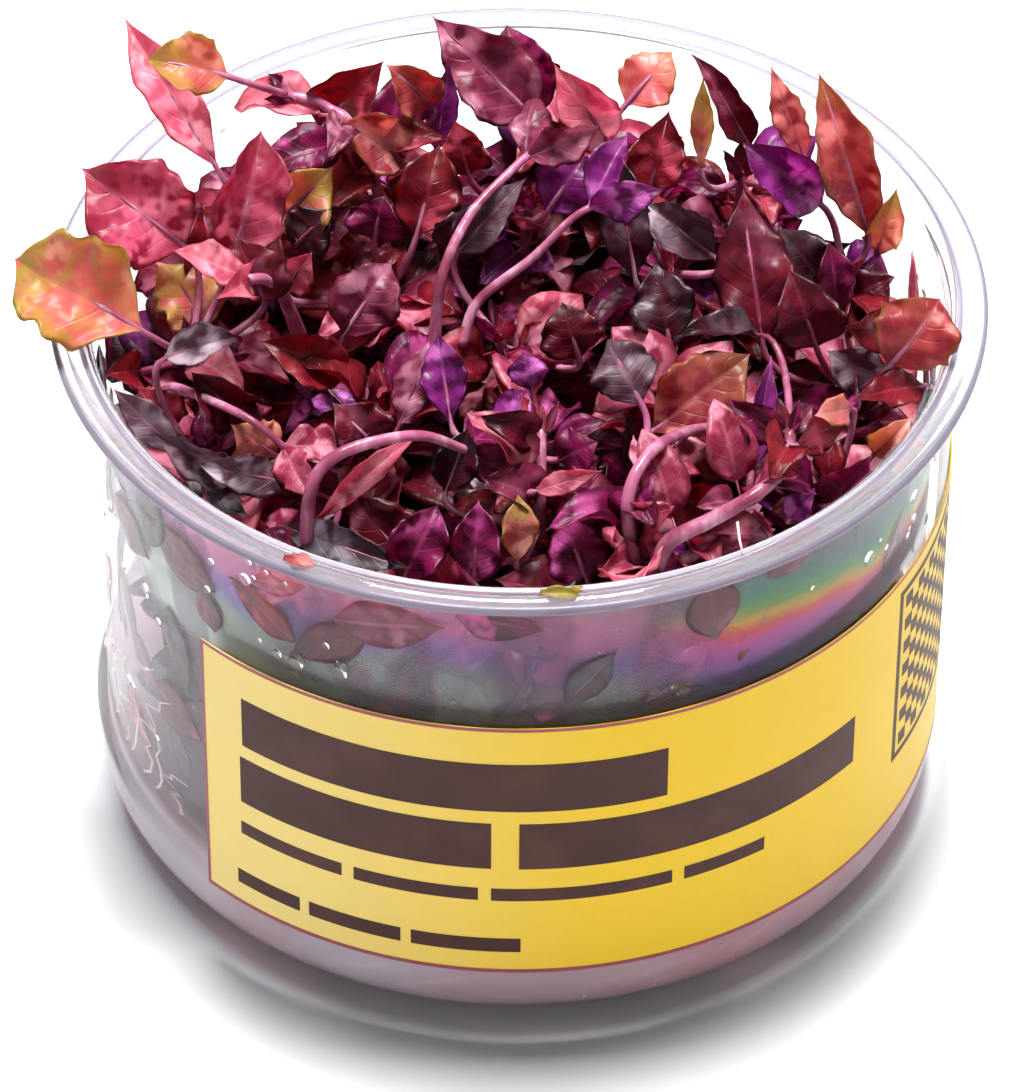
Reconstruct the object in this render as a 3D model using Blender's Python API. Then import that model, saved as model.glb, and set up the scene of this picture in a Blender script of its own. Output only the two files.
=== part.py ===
"""Alternanthera reineckii plantlets standing in gel in an open clear culture cup.

Lengths below are millimetres, turned into metres by MM. The cup stands on z = 0 with its axis
on Z. The viewer stands on the -Y side, and an azimuth of 0 points at the viewer.
"""

import math
import random

import bmesh
import bpy
from mathutils import Vector, geometry
from mathutils.bvhtree import BVHTree

MM = 0.001

# Cup: a turned shell with a flat flange and a rounded foot
CUP_HEIGHT = 65.0
RIM_RADIUS = 50.0
FLANGE_THICKNESS = 1.3
FLANGE_INNER_RADIUS = 46.5
EDGE_ROUND = 0.3
WALL_TOP_RADIUS = 46.8
WALL_FOOT_RADIUS = 46.3
WALL_THICKNESS = 1.2
FOOT_ROUND = 8.0
CUP_SEGMENTS = 40
FIT_GAP = 0.3

# Gel and label
GEL_TOP = 13.0
LABEL_FOOT = 9.8
LABEL_TOP = 45.5
LABEL_START = -45
LABEL_END = 99
LABEL_THICKNESS = 0.3

# Stems: centre lines from the gel up, at their thickest and thinnest
STEM_RADIUS = 0.95
STEM_TIP_RADIUS = 0.55
STEM_SIDES = 4
STEM_STEP = 11.0
LAST_ROOT_SHARE = 0.85

# Leaves
LEAF_THICKNESS = 0.46
STALK_RADIUS = 0.42
LARGE_STATIONS = (0.0, 0.18, 0.45, 0.75, 1.0)
SMALL_STATIONS = (0.0, 0.33, 0.7, 1.0)
SMALL_LEAF = 10.0
EDGE_LIFT = 0.16
EDGE_WAVE = 0.13
LEAF_CREASE = 60
SIGHT = Vector((0.0, 0.747, -0.665))
SLIDE_STEP = 1.2
SLIDES = (0, 1, -1, 2, -2, 3, -3, 4, -4, 5, 6)
TURNS = (0, 14, -14, 28, -28, 42, -42)

COLOURS = {
    "clear": (0.86, 0.87, 0.90, 0.25),
    "gel": (0.72, 0.60, 0.70, 0.6),
    "yellow": (0.90, 0.72, 0.12, 1.0),
    "stem": (0.62, 0.22, 0.34, 1.0),
    "olive": (0.45, 0.24, 0.06, 1.0),
    "salmon": (0.60, 0.14, 0.08, 1.0),
    "peach": (0.70, 0.26, 0.10, 1.0),
    "pink": (0.72, 0.28, 0.40, 1.0),
    "rose": (0.48, 0.09, 0.16, 1.0),
    "crimson": (0.30, 0.02, 0.03, 1.0),
    "magenta": (0.22, 0.01, 0.07, 1.0),
    "violet": (0.30, 0.04, 0.28, 1.0),
    "mauve": (0.28, 0.09, 0.13, 1.0),
    "burgundy": (0.09, 0.008, 0.015, 1.0),
    "black": (0.03, 0.006, 0.015, 1.0),
    "silver": (0.24, 0.18, 0.22, 1.0),
    "slate": (0.10, 0.09, 0.11, 1.0),
}

# Stems by name, each a route of points from the gel to its growing tip
STEMS = {
    "centre": ((0, 0, 13), (1, 2, 38), (-2, -1, 60)),
    "inner_front": ((-1, -18, 13), (2, -17, 36), (2.5, -25, 56), (2.5, -19, 63)),
    "inner_front_left": ((-14, -10, 13), (-13, -9, 36), (-15, -12, 59)),
    "inner_front_right": ((15, -11, 13), (16, -9, 36), (17, -10, 59)),
    "inner_back": ((2, 17, 13), (0, 18, 38), (1, 18, 63)),
    "inner_back_left": ((-15, 10, 13), (-14, 8, 38), (-15, 7, 60)),
    "inner_back_right": ((15, 10, 13), (16, 8, 38), (17, 9, 62)),
    "outer_front_left": ((-20, -28, 13), (-21, -29, 34), (-22, -29, 54)),
    "outer_left_low": ((-33, -16, 13), (-32, -17, 34), (-33, -17, 56)),
    "outer_left": ((-36, 3, 13), (-35, 1, 36), (-35, -3, 60)),
    "outer_back_left": ((-28, 22, 13), (-27, 20, 36), (-29, 12, 64)),
    "arching_back_left": ((-13, 32, 13), (-14, 28, 42), (-16.5, 18, 70), (-21, 19.5, 75), (-25, 20, 76)),
    "outer_back": ((6, 35, 13), (5, 32, 38), (5, 26, 66)),
    "outer_back_right": ((25, 26, 13), (24, 24, 38), (24, 21, 65)),
    "outer_right_high": ((35, 12, 13), (34, 11, 38), (35, 9, 61)),
    "outer_right": ((36, -5, 13), (35, -6, 36), (36, -6, 58)),
    "outer_right_low": ((30, -22, 13), (31, -21, 34), (33, -19, 54)),
    "arching_front_right": (
        (14, -32, 13), (13, -34, 38), (15.5, -33, 55), (19, -31, 60),
        (25, -28.5, 62), (28, -25.5, 64), (28.5, -22.5, 66),
    ),
    "hooked_front": ((6, -34, 13), (8, -34, 38), (12.5, -31, 57), (11.5, -28, 60.5), (13, -24, 62.5)),
    "outer_front": ((-8, -35, 13), (-7, -34, 32), (-6, -33, 50)),
}

# Leaves that stand alone: blade foot, tip, width across, arch, turn about the chord, colour
BIG_LEAVES = {
    "far_left": ((-39.5, -10, 68), (-54.5, -2.5, 72), 12.5, 3, 10, "olive"),
    "mauve_left": ((-35.5, 4, 68), (-46.5, 8.5, 75), 12, 4, 0, "rose"),
    "forked_top_left": ((-32.5, 11.5, 73), (-43, 24, 84), 5.5, 3, 0, "pink"),
    "olive_top_left": ((-31, 15.5, 82), (-40, 16, 84), 7, 2, 10, "olive"),
    "rose_left": ((-30.5, 4, 66), (-27.5, 12.5, 77), 10, 4, 10, "rose"),
    "olive_left": ((-33.5, -4.5, 64), (-39, 0, 70), 9, 3, 0, "olive"),
    "crimson_back_left": ((-21.5, 20.5, 71), (-14.5, 21.5, 80), 9, 3, 0, "crimson"),
    "orange_back": ((-9.5, 20.5, 74), (-14.5, 21, 80), 6, 2, 0, "salmon"),
    "violet_back": ((-9, 19.5, 69), (-7.5, 21.5, 80), 3.5, 1, 0, "violet"),
    "mauve_back": ((1.5, 23, 71), (-10, 29.5, 80), 9, 3, 0, "mauve"),
    "magenta_back": ((0.5, 24.5, 70), (-1.5, 28, 81), 9, 3, 0, "magenta"),
    "folded_back": ((9.5, 21, 69), (3.5, 22, 79), 7.5, 5, 0, "pink"),
    "peach_back": ((11.5, 20.5, 75), (16.5, 25, 79), 6.5, 2, 0, "peach"),
    "red_back": ((14, 14, 68), (16, 18, 76), 6.5, 2, 0, "crimson"),
    "slender_back_right": ((25, 18.5, 71), (18.5, 22, 82), 4.5, 2, 0, "burgundy"),
    "upright_back_right": ((19.5, 15.5, 70), (19.5, 19, 80), 2.5, 1, 0, "olive"),
    "salmon_back_right": ((37.5, 9.5, 66), (31.5, 16.5, 84), 6.5, 4, 0, "salmon"),
    "flap_back_right": ((30.5, 14.5, 72), (26.5, 18.5, 82), 3.5, 2, 0, "salmon"),
    "violet_right": ((32.5, 13, 67), (23.5, 14, 75), 7.5, 3, 0, "violet"),
    "olive_right": ((38.5, 6.5, 66), (40.5, 8, 74), 5, 2, 0, "olive"),
    "salmon_right": ((39, -8, 62), (45, -3.5, 69), 9.5, 3, 0, "salmon"),
    "burgundy_right": ((26, -4.5, 62), (23.5, 7, 74), 8.5, 3, 0, "burgundy"),
    "silver_right": ((21, 4, 67), (13, 7.5, 72), 6, 2, 0, "silver"),
    "dark_upright": ((12.5, 4, 64), (10, 12.5, 75), 6, 3, 0, "black"),
    "silver_arch": ((-6.5, 6, 66), (1, 9.5, 74), 5, 3, 0, "silver"),
    "silver_centre": ((13, -19, 66), (9, -13.5, 71), 7.5, 2, 0, "silver"),
    "brown_front_right": ((14, -21, 64), (24.5, -15, 70), 8.5, 2, 0, "salmon"),
    "violet_front_right": ((24.5, -24.5, 62), (26.5, -16.5, 71), 3.2, 2, 0, "violet"),
    "violet_centre": ((-7, -18.5, 63), (-8.5, -12, 70), 5, 1, 0, "violet"),
    "pink_arch_front": ((-21, -28.5, 58), (-10, -23, 66), 2.8, 5, 0, "pink"),
    "slate_front": ((-24.5, -29.5, 58), (-11, -38.5, 60), 4.5, 1, 0, "slate"),
    "silver_rim_left": ((-28.5, -22, 58), (-38.5, -20, 63), 4.5, 1, 0, "silver"),
    "peach_front_left": ((-25.5, -21.5, 61), (-30, -22.5, 66), 6, 1, 0, "peach"),
    "crimson_left": ((-18, -9.5, 62), (-27.5, -10, 67), 6, 2, 0, "crimson"),
    "crimson_rim_right": ((43, -12, 63), (35, -18, 66), 4.5, 1, 0, "crimson"),
}

# Leaves fused to the stem that bears them, in the same columns
STEM_LEAVES = {
    "slate_left": ((-35, -25.5, 62), (-28, -31, 60.5), 4.5, 0, 0, "slate"),
    "red_arch_left": ((-33, 3, 66), (-34, 5, 74), 7, 5, 20, "crimson"),
    "burgundy_left": ((-27, 0, 64), (-30, 1.5, 72), 8, 3, 0, "burgundy"),
    "salmon_back_left": ((-12.5, 18.5, 68), (-20, 19, 73), 7, 3, 10, "salmon"),
    "purple_back": ((3, 11.5, 67), (7.5, 15, 73), 7, 2, 0, "violet"),
    "black_back": ((-7.5, 7.5, 64), (-3.5, 8, 72), 6, 2, 0, "black"),
    "grey_left": ((-37, -12, 66), (-29, -9.5, 67), 4.5, 2, -10, "silver"),
    "dark_left": ((-29.5, -14, 60), (-34.5, -14, 66), 7, 3, 0, "burgundy"),
    "silver_rim_far_left": ((-35.5, -21.5, 61), (-42.5, -18, 67), 4, 1, 0, "silver"),
    "mauve_front_left": ((-22.5, -24, 59), (-34, -25.5, 63), 4.5, 1, 0, "silver"),
    "mauve_centre": ((-12.5, -18, 62), (-9, -12, 69), 4.5, 1, 0, "mauve"),
    "black_front": ((-7.5, -26, 60), (-5, -22.5, 66), 5, 1, 0, "black"),
    "pink_edge_front": ((2, -27, 61), (9, -27, 64), 2.6, 1, 0, "pink"),
    "olive_front": ((0, -33.5, 57), (0.5, -30.5, 64), 4, 1, 0, "olive"),
    "violet_round": ((1.5, -14.5, 64), (0.5, -12.5, 68), 4.5, 1, 0, "violet"),
    "black_flat": ((25.5, -7.5, 66), (16, -12, 70), 4, 1, 40, "black"),
    "crimson_right": ((39.5, -5.5, 65), (34, -9.5, 69), 6, 2, 0, "crimson"),
    "grey_right": ((38.5, -11, 64), (32.5, -12, 68), 6, 2, 0, "silver"),
    "tan_right": ((35, -17, 64), (31, -21.5, 67), 3.5, 1, 0, "peach"),
    "olive_low_right": ((37.5, -17.5, 58), (41.5, -17, 63), 4.5, 1, 0, "olive"),
    "magenta_low_right": ((33, -23, 56), (37, -22, 62), 6.5, 1, 0, "magenta"),
    "violet_curl_right": ((28.5, -27.5, 58), (31, -28, 62), 3.5, 1, 0, "violet"),
    "red_rim_left": ((-40, -10.5, 63), (-43.5, -14.5, 66), 4.5, 1, 0, "crimson"),
    "crimson_back": ((-11, 8.5, 66), (-8.5, 14.5, 74), 7.5, 2, 0, "crimson"),
    "magenta_back_left": ((-15.5, 9, 65), (-14.5, 10, 71), 6.5, 2, 0, "magenta"),
    "olive_back_left": ((-25, 10.5, 67), (-19.5, 10.5, 74), 8, 3, 0, "olive"),
    "black_back_left": ((-24, 6.5, 66), (-20, 7, 71), 6, 2, 0, "black"),
    "orange_edge_left": ((-25.5, 1.5, 65), (-25, 6.5, 72), 4, 2, 0, "salmon"),
    "pink_left": ((-25, 1.5, 64), (-22, 1, 70), 4.5, 1, 0, "pink"),
    "crimson_back_small": ((-5.5, 16.5, 68), (-7, 18.5, 74), 6, 2, 0, "crimson"),
    "mauve_left_centre": ((-18.5, -4.5, 63), (-13, 0.5, 70), 7.5, 3, 0, "mauve"),
    "magenta_right": ((34, 0, 63), (33, 2.5, 71), 4.5, 2, 0, "magenta"),
    "dark_right": ((31.5, -4.5, 62), (28.5, -1, 70), 7.5, 2, 0, "burgundy"),
    "black_right": ((33, 3, 64), (27.5, 4.5, 71), 6, 2, 0, "black"),
    "black_centre": ((16, -5, 63), (14.5, 1, 69), 7, 2, 0, "black"),
    "burgundy_front": ((-10, -33.5, 55), (-18, -29.5, 63), 8, 2, 0, "burgundy"),
    "magenta_front_left": ((-12, -34, 54), (-8, -29.5, 62), 7, 2, 0, "magenta"),
    "magenta_front": ((-4.5, -33, 53), (-4, -28.5, 61), 6, 2, 0, "magenta"),
    "magenta_front_right": ((7.5, -34, 54), (4.5, -31, 62), 7, 2, 0, "magenta"),
    "crimson_front_right": ((21, -27, 57), (15, -26.5, 62), 7, 1, 0, "crimson"),
    "magenta_centre_right": ((25.5, -20, 62), (19, -24, 64), 6, 1, 0, "magenta"),
    "pink_front_right": ((23.5, -31, 55), (13, -34, 56), 3, 1, 0, "pink"),
    "burgundy_centre": ((6.5, -7, 62), (4.5, -4.5, 68), 7, 2, 0, "burgundy"),
    "burgundy_left_centre": ((-14.5, -18.5, 59), (-19.5, -17.5, 65), 7, 2, 0, "burgundy"),
    "magenta_centre": ((4.5, -22, 61), (8.5, -22.5, 64), 6, 2, 0, "magenta"),
    "crimson_low_left": ((-36.5, -14.5, 58), (-40, -14, 64), 6, 2, 0, "crimson"),
    "burgundy_low_left": ((-19.5, -24, 57), (-26, -24, 61), 7, 2, 0, "burgundy"),
}

# Leaves below the canopy on every stem: height, bearing, reach, width and rise
UNDER_LEAVES = (
    (27.0, 90, 9.0, 5.5, 3.0),
    (45.0, 0, 13.0, 9.0, 6.0),
    (47.0, 180, 13.0, 9.0, 6.0),
)
UNDER_BEARING_STEP = 137
UNDER_STALK = 2.6
UNDER_TURNS = (0, 15, -15, 30, -30, 45, -45, 60, -60, 75, -75, 90, -90)
UNDER_DROPS = (0.0, -4.0, 4.0)
UNDER_COLOURS = ("burgundy", "magenta", "black", "crimson")


def clear_scene():
    """Remove every object, so that the model starts from nothing."""
    for obj in list(bpy.data.objects):
        bpy.data.objects.remove(obj, do_unlink=True)


def material(name):
    """The named colour as a Principled material."""
    found = bpy.data.materials.get(name)
    if found:
        return found
    made = bpy.data.materials.new(name)
    made.use_nodes = True
    shader = made.node_tree.nodes["Principled BSDF"]
    red, green, blue, alpha = COLOURS[name]
    shader.inputs["Base Color"].default_value = (red, green, blue, 1.0)
    shader.inputs["Roughness"].default_value = 0.15 if name == "clear" else 0.5
    shader.inputs["Metallic"].default_value = 0.0
    shader.inputs["Alpha"].default_value = alpha
    return made


def add_object(name, points, faces, colour):
    """A closed body from points in millimetres, with its faces turned outwards."""
    mesh = bpy.data.meshes.new(name)
    mesh.from_pydata([tuple(Vector(p) * MM) for p in points], [], faces)
    body = bmesh.new()
    body.from_mesh(mesh)
    bmesh.ops.recalc_face_normals(body, faces=body.faces)
    bmesh.ops.triangulate(body, faces=body.faces)
    body.to_mesh(mesh)
    body.free()
    mesh.materials.append(material(colour))
    obj = bpy.data.objects.new(name, mesh)
    bpy.context.scene.collection.objects.link(obj)
    return obj


def smooth(obj, angle=40):
    """Smooth shading that keeps the sharp edges."""
    obj.data.shade_smooth()
    obj.data.set_sharp_from_angle(angle=math.radians(angle))


def arc(centre, radius, start, end, steps):
    """Points (r, z) on an arc about centre, from one angle in degrees to another."""
    turns = [math.radians(start + (end - start) * k / steps) for k in range(steps + 1)]
    return [(centre[0] + radius * math.cos(a), centre[1] + radius * math.sin(a)) for a in turns]


def turned(name, profile, colour):
    """A solid turned about Z from a profile (r, z) whose two ends lie on the axis."""
    points, faces = [(0, 0, profile[0][1])], []
    for radius, height in profile[1:-1]:
        for k in range(CUP_SEGMENTS):
            angle = 2 * math.pi * k / CUP_SEGMENTS
            points.append((radius * math.sin(angle), -radius * math.cos(angle), height))
    points.append((0, 0, profile[-1][1]))
    rings = len(profile) - 2
    for k in range(CUP_SEGMENTS):
        after = (k + 1) % CUP_SEGMENTS
        faces.append((0, 1 + k, 1 + after))
        for ring in range(rings - 1):
            low, high = 1 + ring * CUP_SEGMENTS, 1 + (ring + 1) * CUP_SEGMENTS
            faces.append((low + k, high + k, high + after, low + after))
        last = 1 + (rings - 1) * CUP_SEGMENTS
        faces.append((last + k, len(points) - 1, last + after))
    obj = add_object(name, points, faces, colour)
    smooth(obj)
    return obj


def wall_radius(height):
    """Outer radius of the cup's wall, which has a slight draft."""
    share = (height - FOOT_ROUND) / (CUP_HEIGHT - FOOT_ROUND)
    return WALL_FOOT_RADIUS + (WALL_TOP_RADIUS - WALL_FOOT_RADIUS) * share


def make_cup():
    """The clear cup: foot, rounded corner, wall and flat flange."""
    corner = (WALL_FOOT_RADIUS - FOOT_ROUND, FOOT_ROUND)
    under = CUP_HEIGHT - FLANGE_THICKNESS
    outside = [(0, 0)] + arc(corner, FOOT_ROUND, -90, 0, 3)
    outside += [(wall_radius(under), under), (RIM_RADIUS - EDGE_ROUND, under)]
    outside += [(RIM_RADIUS, CUP_HEIGHT - FLANGE_THICKNESS / 2), (RIM_RADIUS - EDGE_ROUND, CUP_HEIGHT)]
    mouth = wall_radius(under) - WALL_THICKNESS
    inside = [(FLANGE_INNER_RADIUS, CUP_HEIGHT), (mouth, CUP_HEIGHT - WALL_THICKNESS)]
    inside += arc(corner, FOOT_ROUND - WALL_THICKNESS, 0, -90, 2) + [(0, WALL_THICKNESS)]
    return turned("cup", outside + inside, "clear")


def make_gel():
    """The disc of set gel that fills the cup's foot."""
    corner = (WALL_FOOT_RADIUS - FOOT_ROUND, FOOT_ROUND)
    foot = WALL_THICKNESS + FIT_GAP
    profile = [(0, foot)] + arc(corner, FOOT_ROUND - foot, -90, 0, 2)
    profile += [(wall_radius(GEL_TOP) - foot, GEL_TOP), (0, GEL_TOP)]
    return turned("gel", profile, "gel")


def make_label():
    """The yellow label, a thin sheet that follows the wall."""
    step = 360 // CUP_SEGMENTS
    points, faces = [], []
    for degrees in range(LABEL_START, LABEL_END + step, step):
        angle = math.radians(degrees)
        for height in (LABEL_FOOT, LABEL_TOP):
            near = wall_radius(height) + FIT_GAP
            for radius in (near, near + LABEL_THICKNESS):
                points.append((radius * math.sin(angle), -radius * math.cos(angle), height))
    columns = len(points) // 4
    for k in range(columns - 1):
        a, b = 4 * k, 4 * k + 4
        faces += [(a, b, b + 1, a + 1), (a + 2, a + 3, b + 3, b + 2)]
        faces += [(a, a + 2, b + 2, b), (a + 1, b + 1, b + 3, a + 3)]
    end = 4 * (columns - 1)
    faces += [(0, 1, 3, 2), (end, end + 2, end + 3, end + 1)]
    obj = add_object("label", points, faces, "yellow")
    smooth(obj)
    return obj


def route(points):
    """A smooth curve through a stem's points, with a point about every STEM_STEP."""
    knots = [Vector(p) for p in points]
    ends = [knots[0] * 2 - knots[1]] + knots + [knots[-1] * 2 - knots[-2]]
    line = []
    for before, start, stop, after in zip(ends, ends[1:], ends[2:], ends[3:]):
        steps = max(1, round((stop - start).length / STEM_STEP))
        for k in range(steps):
            t = k / steps
            blend = (
                start * 2 + (stop - before) * t
                + (before * 2 - start * 5 + stop * 4 - after) * t ** 2
                + (start * 3 - before - stop * 3 + after) * t ** 3
            )
            line.append(blend * 0.5)
    return line + [knots[-1]]


def tube(line):
    """Points and faces of a stem along its line, cut flat on the gel and thinning upwards."""
    points, faces = [], []
    side = Vector((1, 0, 0))
    for k, here in enumerate(line):
        ahead = line[min(k + 1, len(line) - 1)] - line[max(k - 1, 0)]
        ahead.normalize()
        side = (side - ahead * side.dot(ahead)).normalized()
        across = ahead.cross(side)
        radius = STEM_RADIUS + (STEM_TIP_RADIUS - STEM_RADIUS) * k / (len(line) - 1)
        for corner in range(STEM_SIDES):
            turn = 2 * math.pi * corner / STEM_SIDES
            points.append(here + (side * math.cos(turn) + across * math.sin(turn)) * radius)
            if k == 0:
                points[-1].z = GEL_TOP + FIT_GAP
    for k in range(len(line) - 1):
        for corner in range(STEM_SIDES):
            a, b = k * STEM_SIDES + corner, k * STEM_SIDES + (corner + 1) % STEM_SIDES
            faces.append((a, b, b + STEM_SIDES, a + STEM_SIDES))
    faces.append(tuple(reversed(range(STEM_SIDES))))
    faces.append(tuple(range(len(points) - STEM_SIDES, len(points))))
    return points, faces


def face_normal(chord, turn):
    """The way a blade faces: towards the viewer, turned about its chord by degrees."""
    along = chord.normalized()
    facing = -SIGHT + along * SIGHT.dot(along)
    if facing.length < 0.05:
        facing = Vector((0, 0, 1)) - along * along.z
    facing.normalize()
    angle = math.radians(turn)
    return facing * math.cos(angle) + along.cross(facing) * math.sin(angle)


def blade_share(u):
    """Half width of a blade at u along it, as a share of its widest half."""
    return max(0.05, math.sin(math.pi * min(1.0, u) ** 0.82) ** 0.85)


def leaf_rings(foot, base, tip, width, arch, turn, seed):
    """Centre, half width, normal and side of each ring, from the stem to the leaf's tip."""
    chord = tip - base
    normal = face_normal(chord, turn)
    middle = (base + tip) * 0.5 + normal * arch
    small = chord.length < SMALL_LEAF
    stations = SMALL_STATIONS if small else LARGE_STATIONS
    rest = (middle - base).normalized() * min(4.0, (base - foot).length * 0.5)
    line = []
    for t in (0.0,) if small else (0.0, 0.5):
        one = foot.lerp(base - rest, t)
        two = (base - rest).lerp(base, t)
        line.append((one.lerp(two, t), STALK_RADIUS))
    for u in stations:
        centre = base.lerp(middle, u).lerp(middle.lerp(tip, u), u)
        line.append((centre, max(STALK_RADIUS * (1.2 - u), width / 2 * blade_share(u))))
    waves = random.Random(seed)
    phase, beat = waves.uniform(0, 6), waves.uniform(7, 12)
    rings = []
    for k, (centre, half) in enumerate(line):
        ahead = line[min(k + 1, len(line) - 1)][0] - line[max(k - 1, 0)][0]
        ahead.normalize()
        up = (normal - ahead * normal.dot(ahead)).normalized()
        side = ahead.cross(up)
        blade = half > STALK_RADIUS * 1.3
        ripple = [EDGE_LIFT + EDGE_WAVE * math.sin(phase + beat * k / 7 + s) for s in (0.0, 2.4)]
        lifts = [half * r if blade else 0.0 for r in ripple]
        rings.append((centre, half, up, side, lifts))
    return rings


def leaf_body(rings):
    """Points and faces of a leaf: a stalk and a blade of diamond section.

    Both sides are cut from margin to middle, so that they can't cross where the blade twists.
    """
    points, faces = [], []
    for centre, half, up, side, lifts in rings[:-1]:
        thick = LEAF_THICKNESS / 2 if half > STALK_RADIUS else half * 0.8
        points += [
            centre - side * half + up * lifts[0], centre + up * thick,
            centre + side * half + up * lifts[1], centre - up * thick,
        ]
    points.append(rings[-1][0])
    last = len(rings) - 2
    for corner in range(4):
        after = (corner + 1) % 4
        for k in range(last):
            a, b = 4 * k + corner, 4 * k + after
            margin, middle = (b, a) if corner % 2 else (a, b)
            faces += [(a, b, middle + 4), (b + 4, a + 4, margin)]
        faces.append((4 * last + corner, 4 * last + after, len(points) - 1))
    faces += [(3, 2, 1), (3, 1, 0)]
    return points, faces


def placed(leaf):
    """Places to try for a leaf of the tables: slid along the line of sight and turned."""
    base, tip, width, arch, turn, _ = leaf
    for extra_turn in TURNS:
        for slide in SLIDES:
            offset = SIGHT * (slide * SLIDE_STEP)
            yield Vector(base) + offset, Vector(tip) + offset, width, arch, turn + extra_turn


def hung(line, height, reach, width, rise, bearing):
    """Places to try for a leaf below the canopy: turned about its stem, higher or lower."""
    for drop in UNDER_DROPS:
        spot = min(line, key=lambda p: abs(p.z - height - drop))
        for extra in UNDER_TURNS:
            angle = math.radians(bearing + extra)
            away = Vector((math.cos(angle), math.sin(angle), 0))
            base = spot + away * UNDER_STALK + Vector((0, 0, 1))
            yield base, spot + away * reach + Vector((0, 0, rise)), width, reach / 8, 30


def tree_of(points, faces):
    """A search tree of a body's surface."""
    return BVHTree.FromPolygons([Vector(p) for p in points], faces)


def folds(tree, faces):
    """Whether a body crosses itself: two of its faces that share no corner meet."""
    return any(not set(faces[a]) & set(faces[b]) for a, b in tree.overlap(tree))


def nearest_stem(base, lines):
    """The stem, and the point on it, that a leaf with this blade foot grows from."""
    best = None
    for name, line in lines.items():
        for before, after in zip(line[1:], line[2:]):
            spot, share = geometry.intersect_point_line(base, before, after)
            spot = before.lerp(after, min(LAST_ROOT_SHARE, max(0.0, share)))
            cost = (base - spot).length + 2.0 * max(0.0, spot.z - base.z + 1.0)
            if best is None or cost < best[0]:
                best = (cost, name, spot)
    return best[1], best[2]


class Foliage:
    """Stems and leaves, each leaf slid along the line of sight until it is clear."""

    def __init__(self, cup):
        """Keep the stems' lines and everything that a new leaf has to miss."""
        self.lines = {name: route(points) for name, points in STEMS.items()}
        self.bodies = {name: tube(line) for name, line in self.lines.items()}
        self.taken = [(name, tree_of(*body)) for name, body in self.bodies.items()]
        points = [tuple(v.co / MM) for v in cup.data.vertices]
        self.taken.append(("cup", tree_of(points, [tuple(p.vertices) for p in cup.data.polygons])))
        self.grown = {name: [] for name in STEMS}
        self.lost = []

    def clear(self, points, faces, stem):
        """Whether a leaf body misses itself and the rest, apart from its foot in its own stem."""
        whole = tree_of(points, faces)
        if folds(whole, faces):
            return False
        outer = tree_of(points, [f for f in faces if min(f) >= 4])
        for name, tree in self.taken:
            if (outer if name == stem else whole).overlap(tree):
                return False
        return True

    def settle(self, name, places, colour, alone=False):
        """Keep a leaf at the first of its places that is clear."""
        for place in places:
            stem, spot = nearest_stem(place[0], self.lines)
            away = (place[0] - spot).normalized()
            foot = spot + away * (STEM_RADIUS + FIT_GAP) if alone else spot
            points, faces = leaf_body(leaf_rings(foot, *place, seed=name))
            if not self.clear(points, faces, None if alone else stem):
                continue
            self.taken.append((name if alone else stem, tree_of(points, faces)))
            if alone:
                smooth(add_object("leaf_" + name, points, faces, colour), LEAF_CREASE)
            else:
                self.grown[stem].append((points, faces, colour))
            return
        self.lost.append(name)

    def hang_under_leaves(self):
        """Grow the leaves below the canopy on every stem."""
        for number, (name, line) in enumerate(self.lines.items()):
            for k, (height, bearing, reach, width, rise) in enumerate(UNDER_LEAVES):
                turned_to = bearing + UNDER_BEARING_STEP * number
                colour = UNDER_COLOURS[(number + k) % len(UNDER_COLOURS)]
                places = hung(line, height, reach, width, rise, turned_to)
                self.settle(f"under_{name}_{k}", places, colour)

    def fuse(self):
        """Join each stem and the leaves that grow from it into one body."""
        for name, (points, faces) in self.bodies.items():
            plantlet = add_object("plantlet_" + name, points, faces, "stem")
            parts = [add_object("part", p, f, colour) for p, f, colour in self.grown[name]]
            for part in parts:
                union = plantlet.modifiers.new("union", "BOOLEAN")
                union.operation = "UNION"
                union.solver = "EXACT"
                union.material_mode = "TRANSFER"
                union.object = part
            ready = plantlet.evaluated_get(bpy.context.evaluated_depsgraph_get())
            joined = bpy.data.meshes.new_from_object(ready)
            plantlet.modifiers.clear()
            plantlet.data = joined
            for part in parts:
                bpy.data.objects.remove(part, do_unlink=True)
            smooth(plantlet, LEAF_CREASE)


def main():
    """Build the cup, what it holds and its label."""
    clear_scene()
    cup = make_cup()
    make_gel()
    make_label()
    foliage = Foliage(cup)
    for name, leaf in BIG_LEAVES.items():
        foliage.settle(name, placed(leaf), leaf[-1], alone=True)
    for name, leaf in STEM_LEAVES.items():
        foliage.settle(name, placed(leaf), leaf[-1])
    foliage.hang_under_leaves()
    foliage.fuse()
    print("leaves with no clear place:", foliage.lost)


main()
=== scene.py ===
"""Young Alternanthera reineckii stems in an open clear culture cup, dressed round the frame.

The tables give millimetres, turned into metres by MM. The cup stands on z = 0 with its axis on Z,
the viewer stands on the -Y side, and an azimuth of 0 points at the viewer. Stems and leaves grow
by the same rule as the frame's solids, so each fine piece stands where its solid stands.
"""

import logging
import math
import random
from collections.abc import Iterable, Iterator, Sequence
from dataclasses import dataclass, field
from enum import Enum
from functools import reduce

import bpy
from mathutils import Matrix, Vector, geometry, noise
from mathutils.bvhtree import BVHTree


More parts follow.
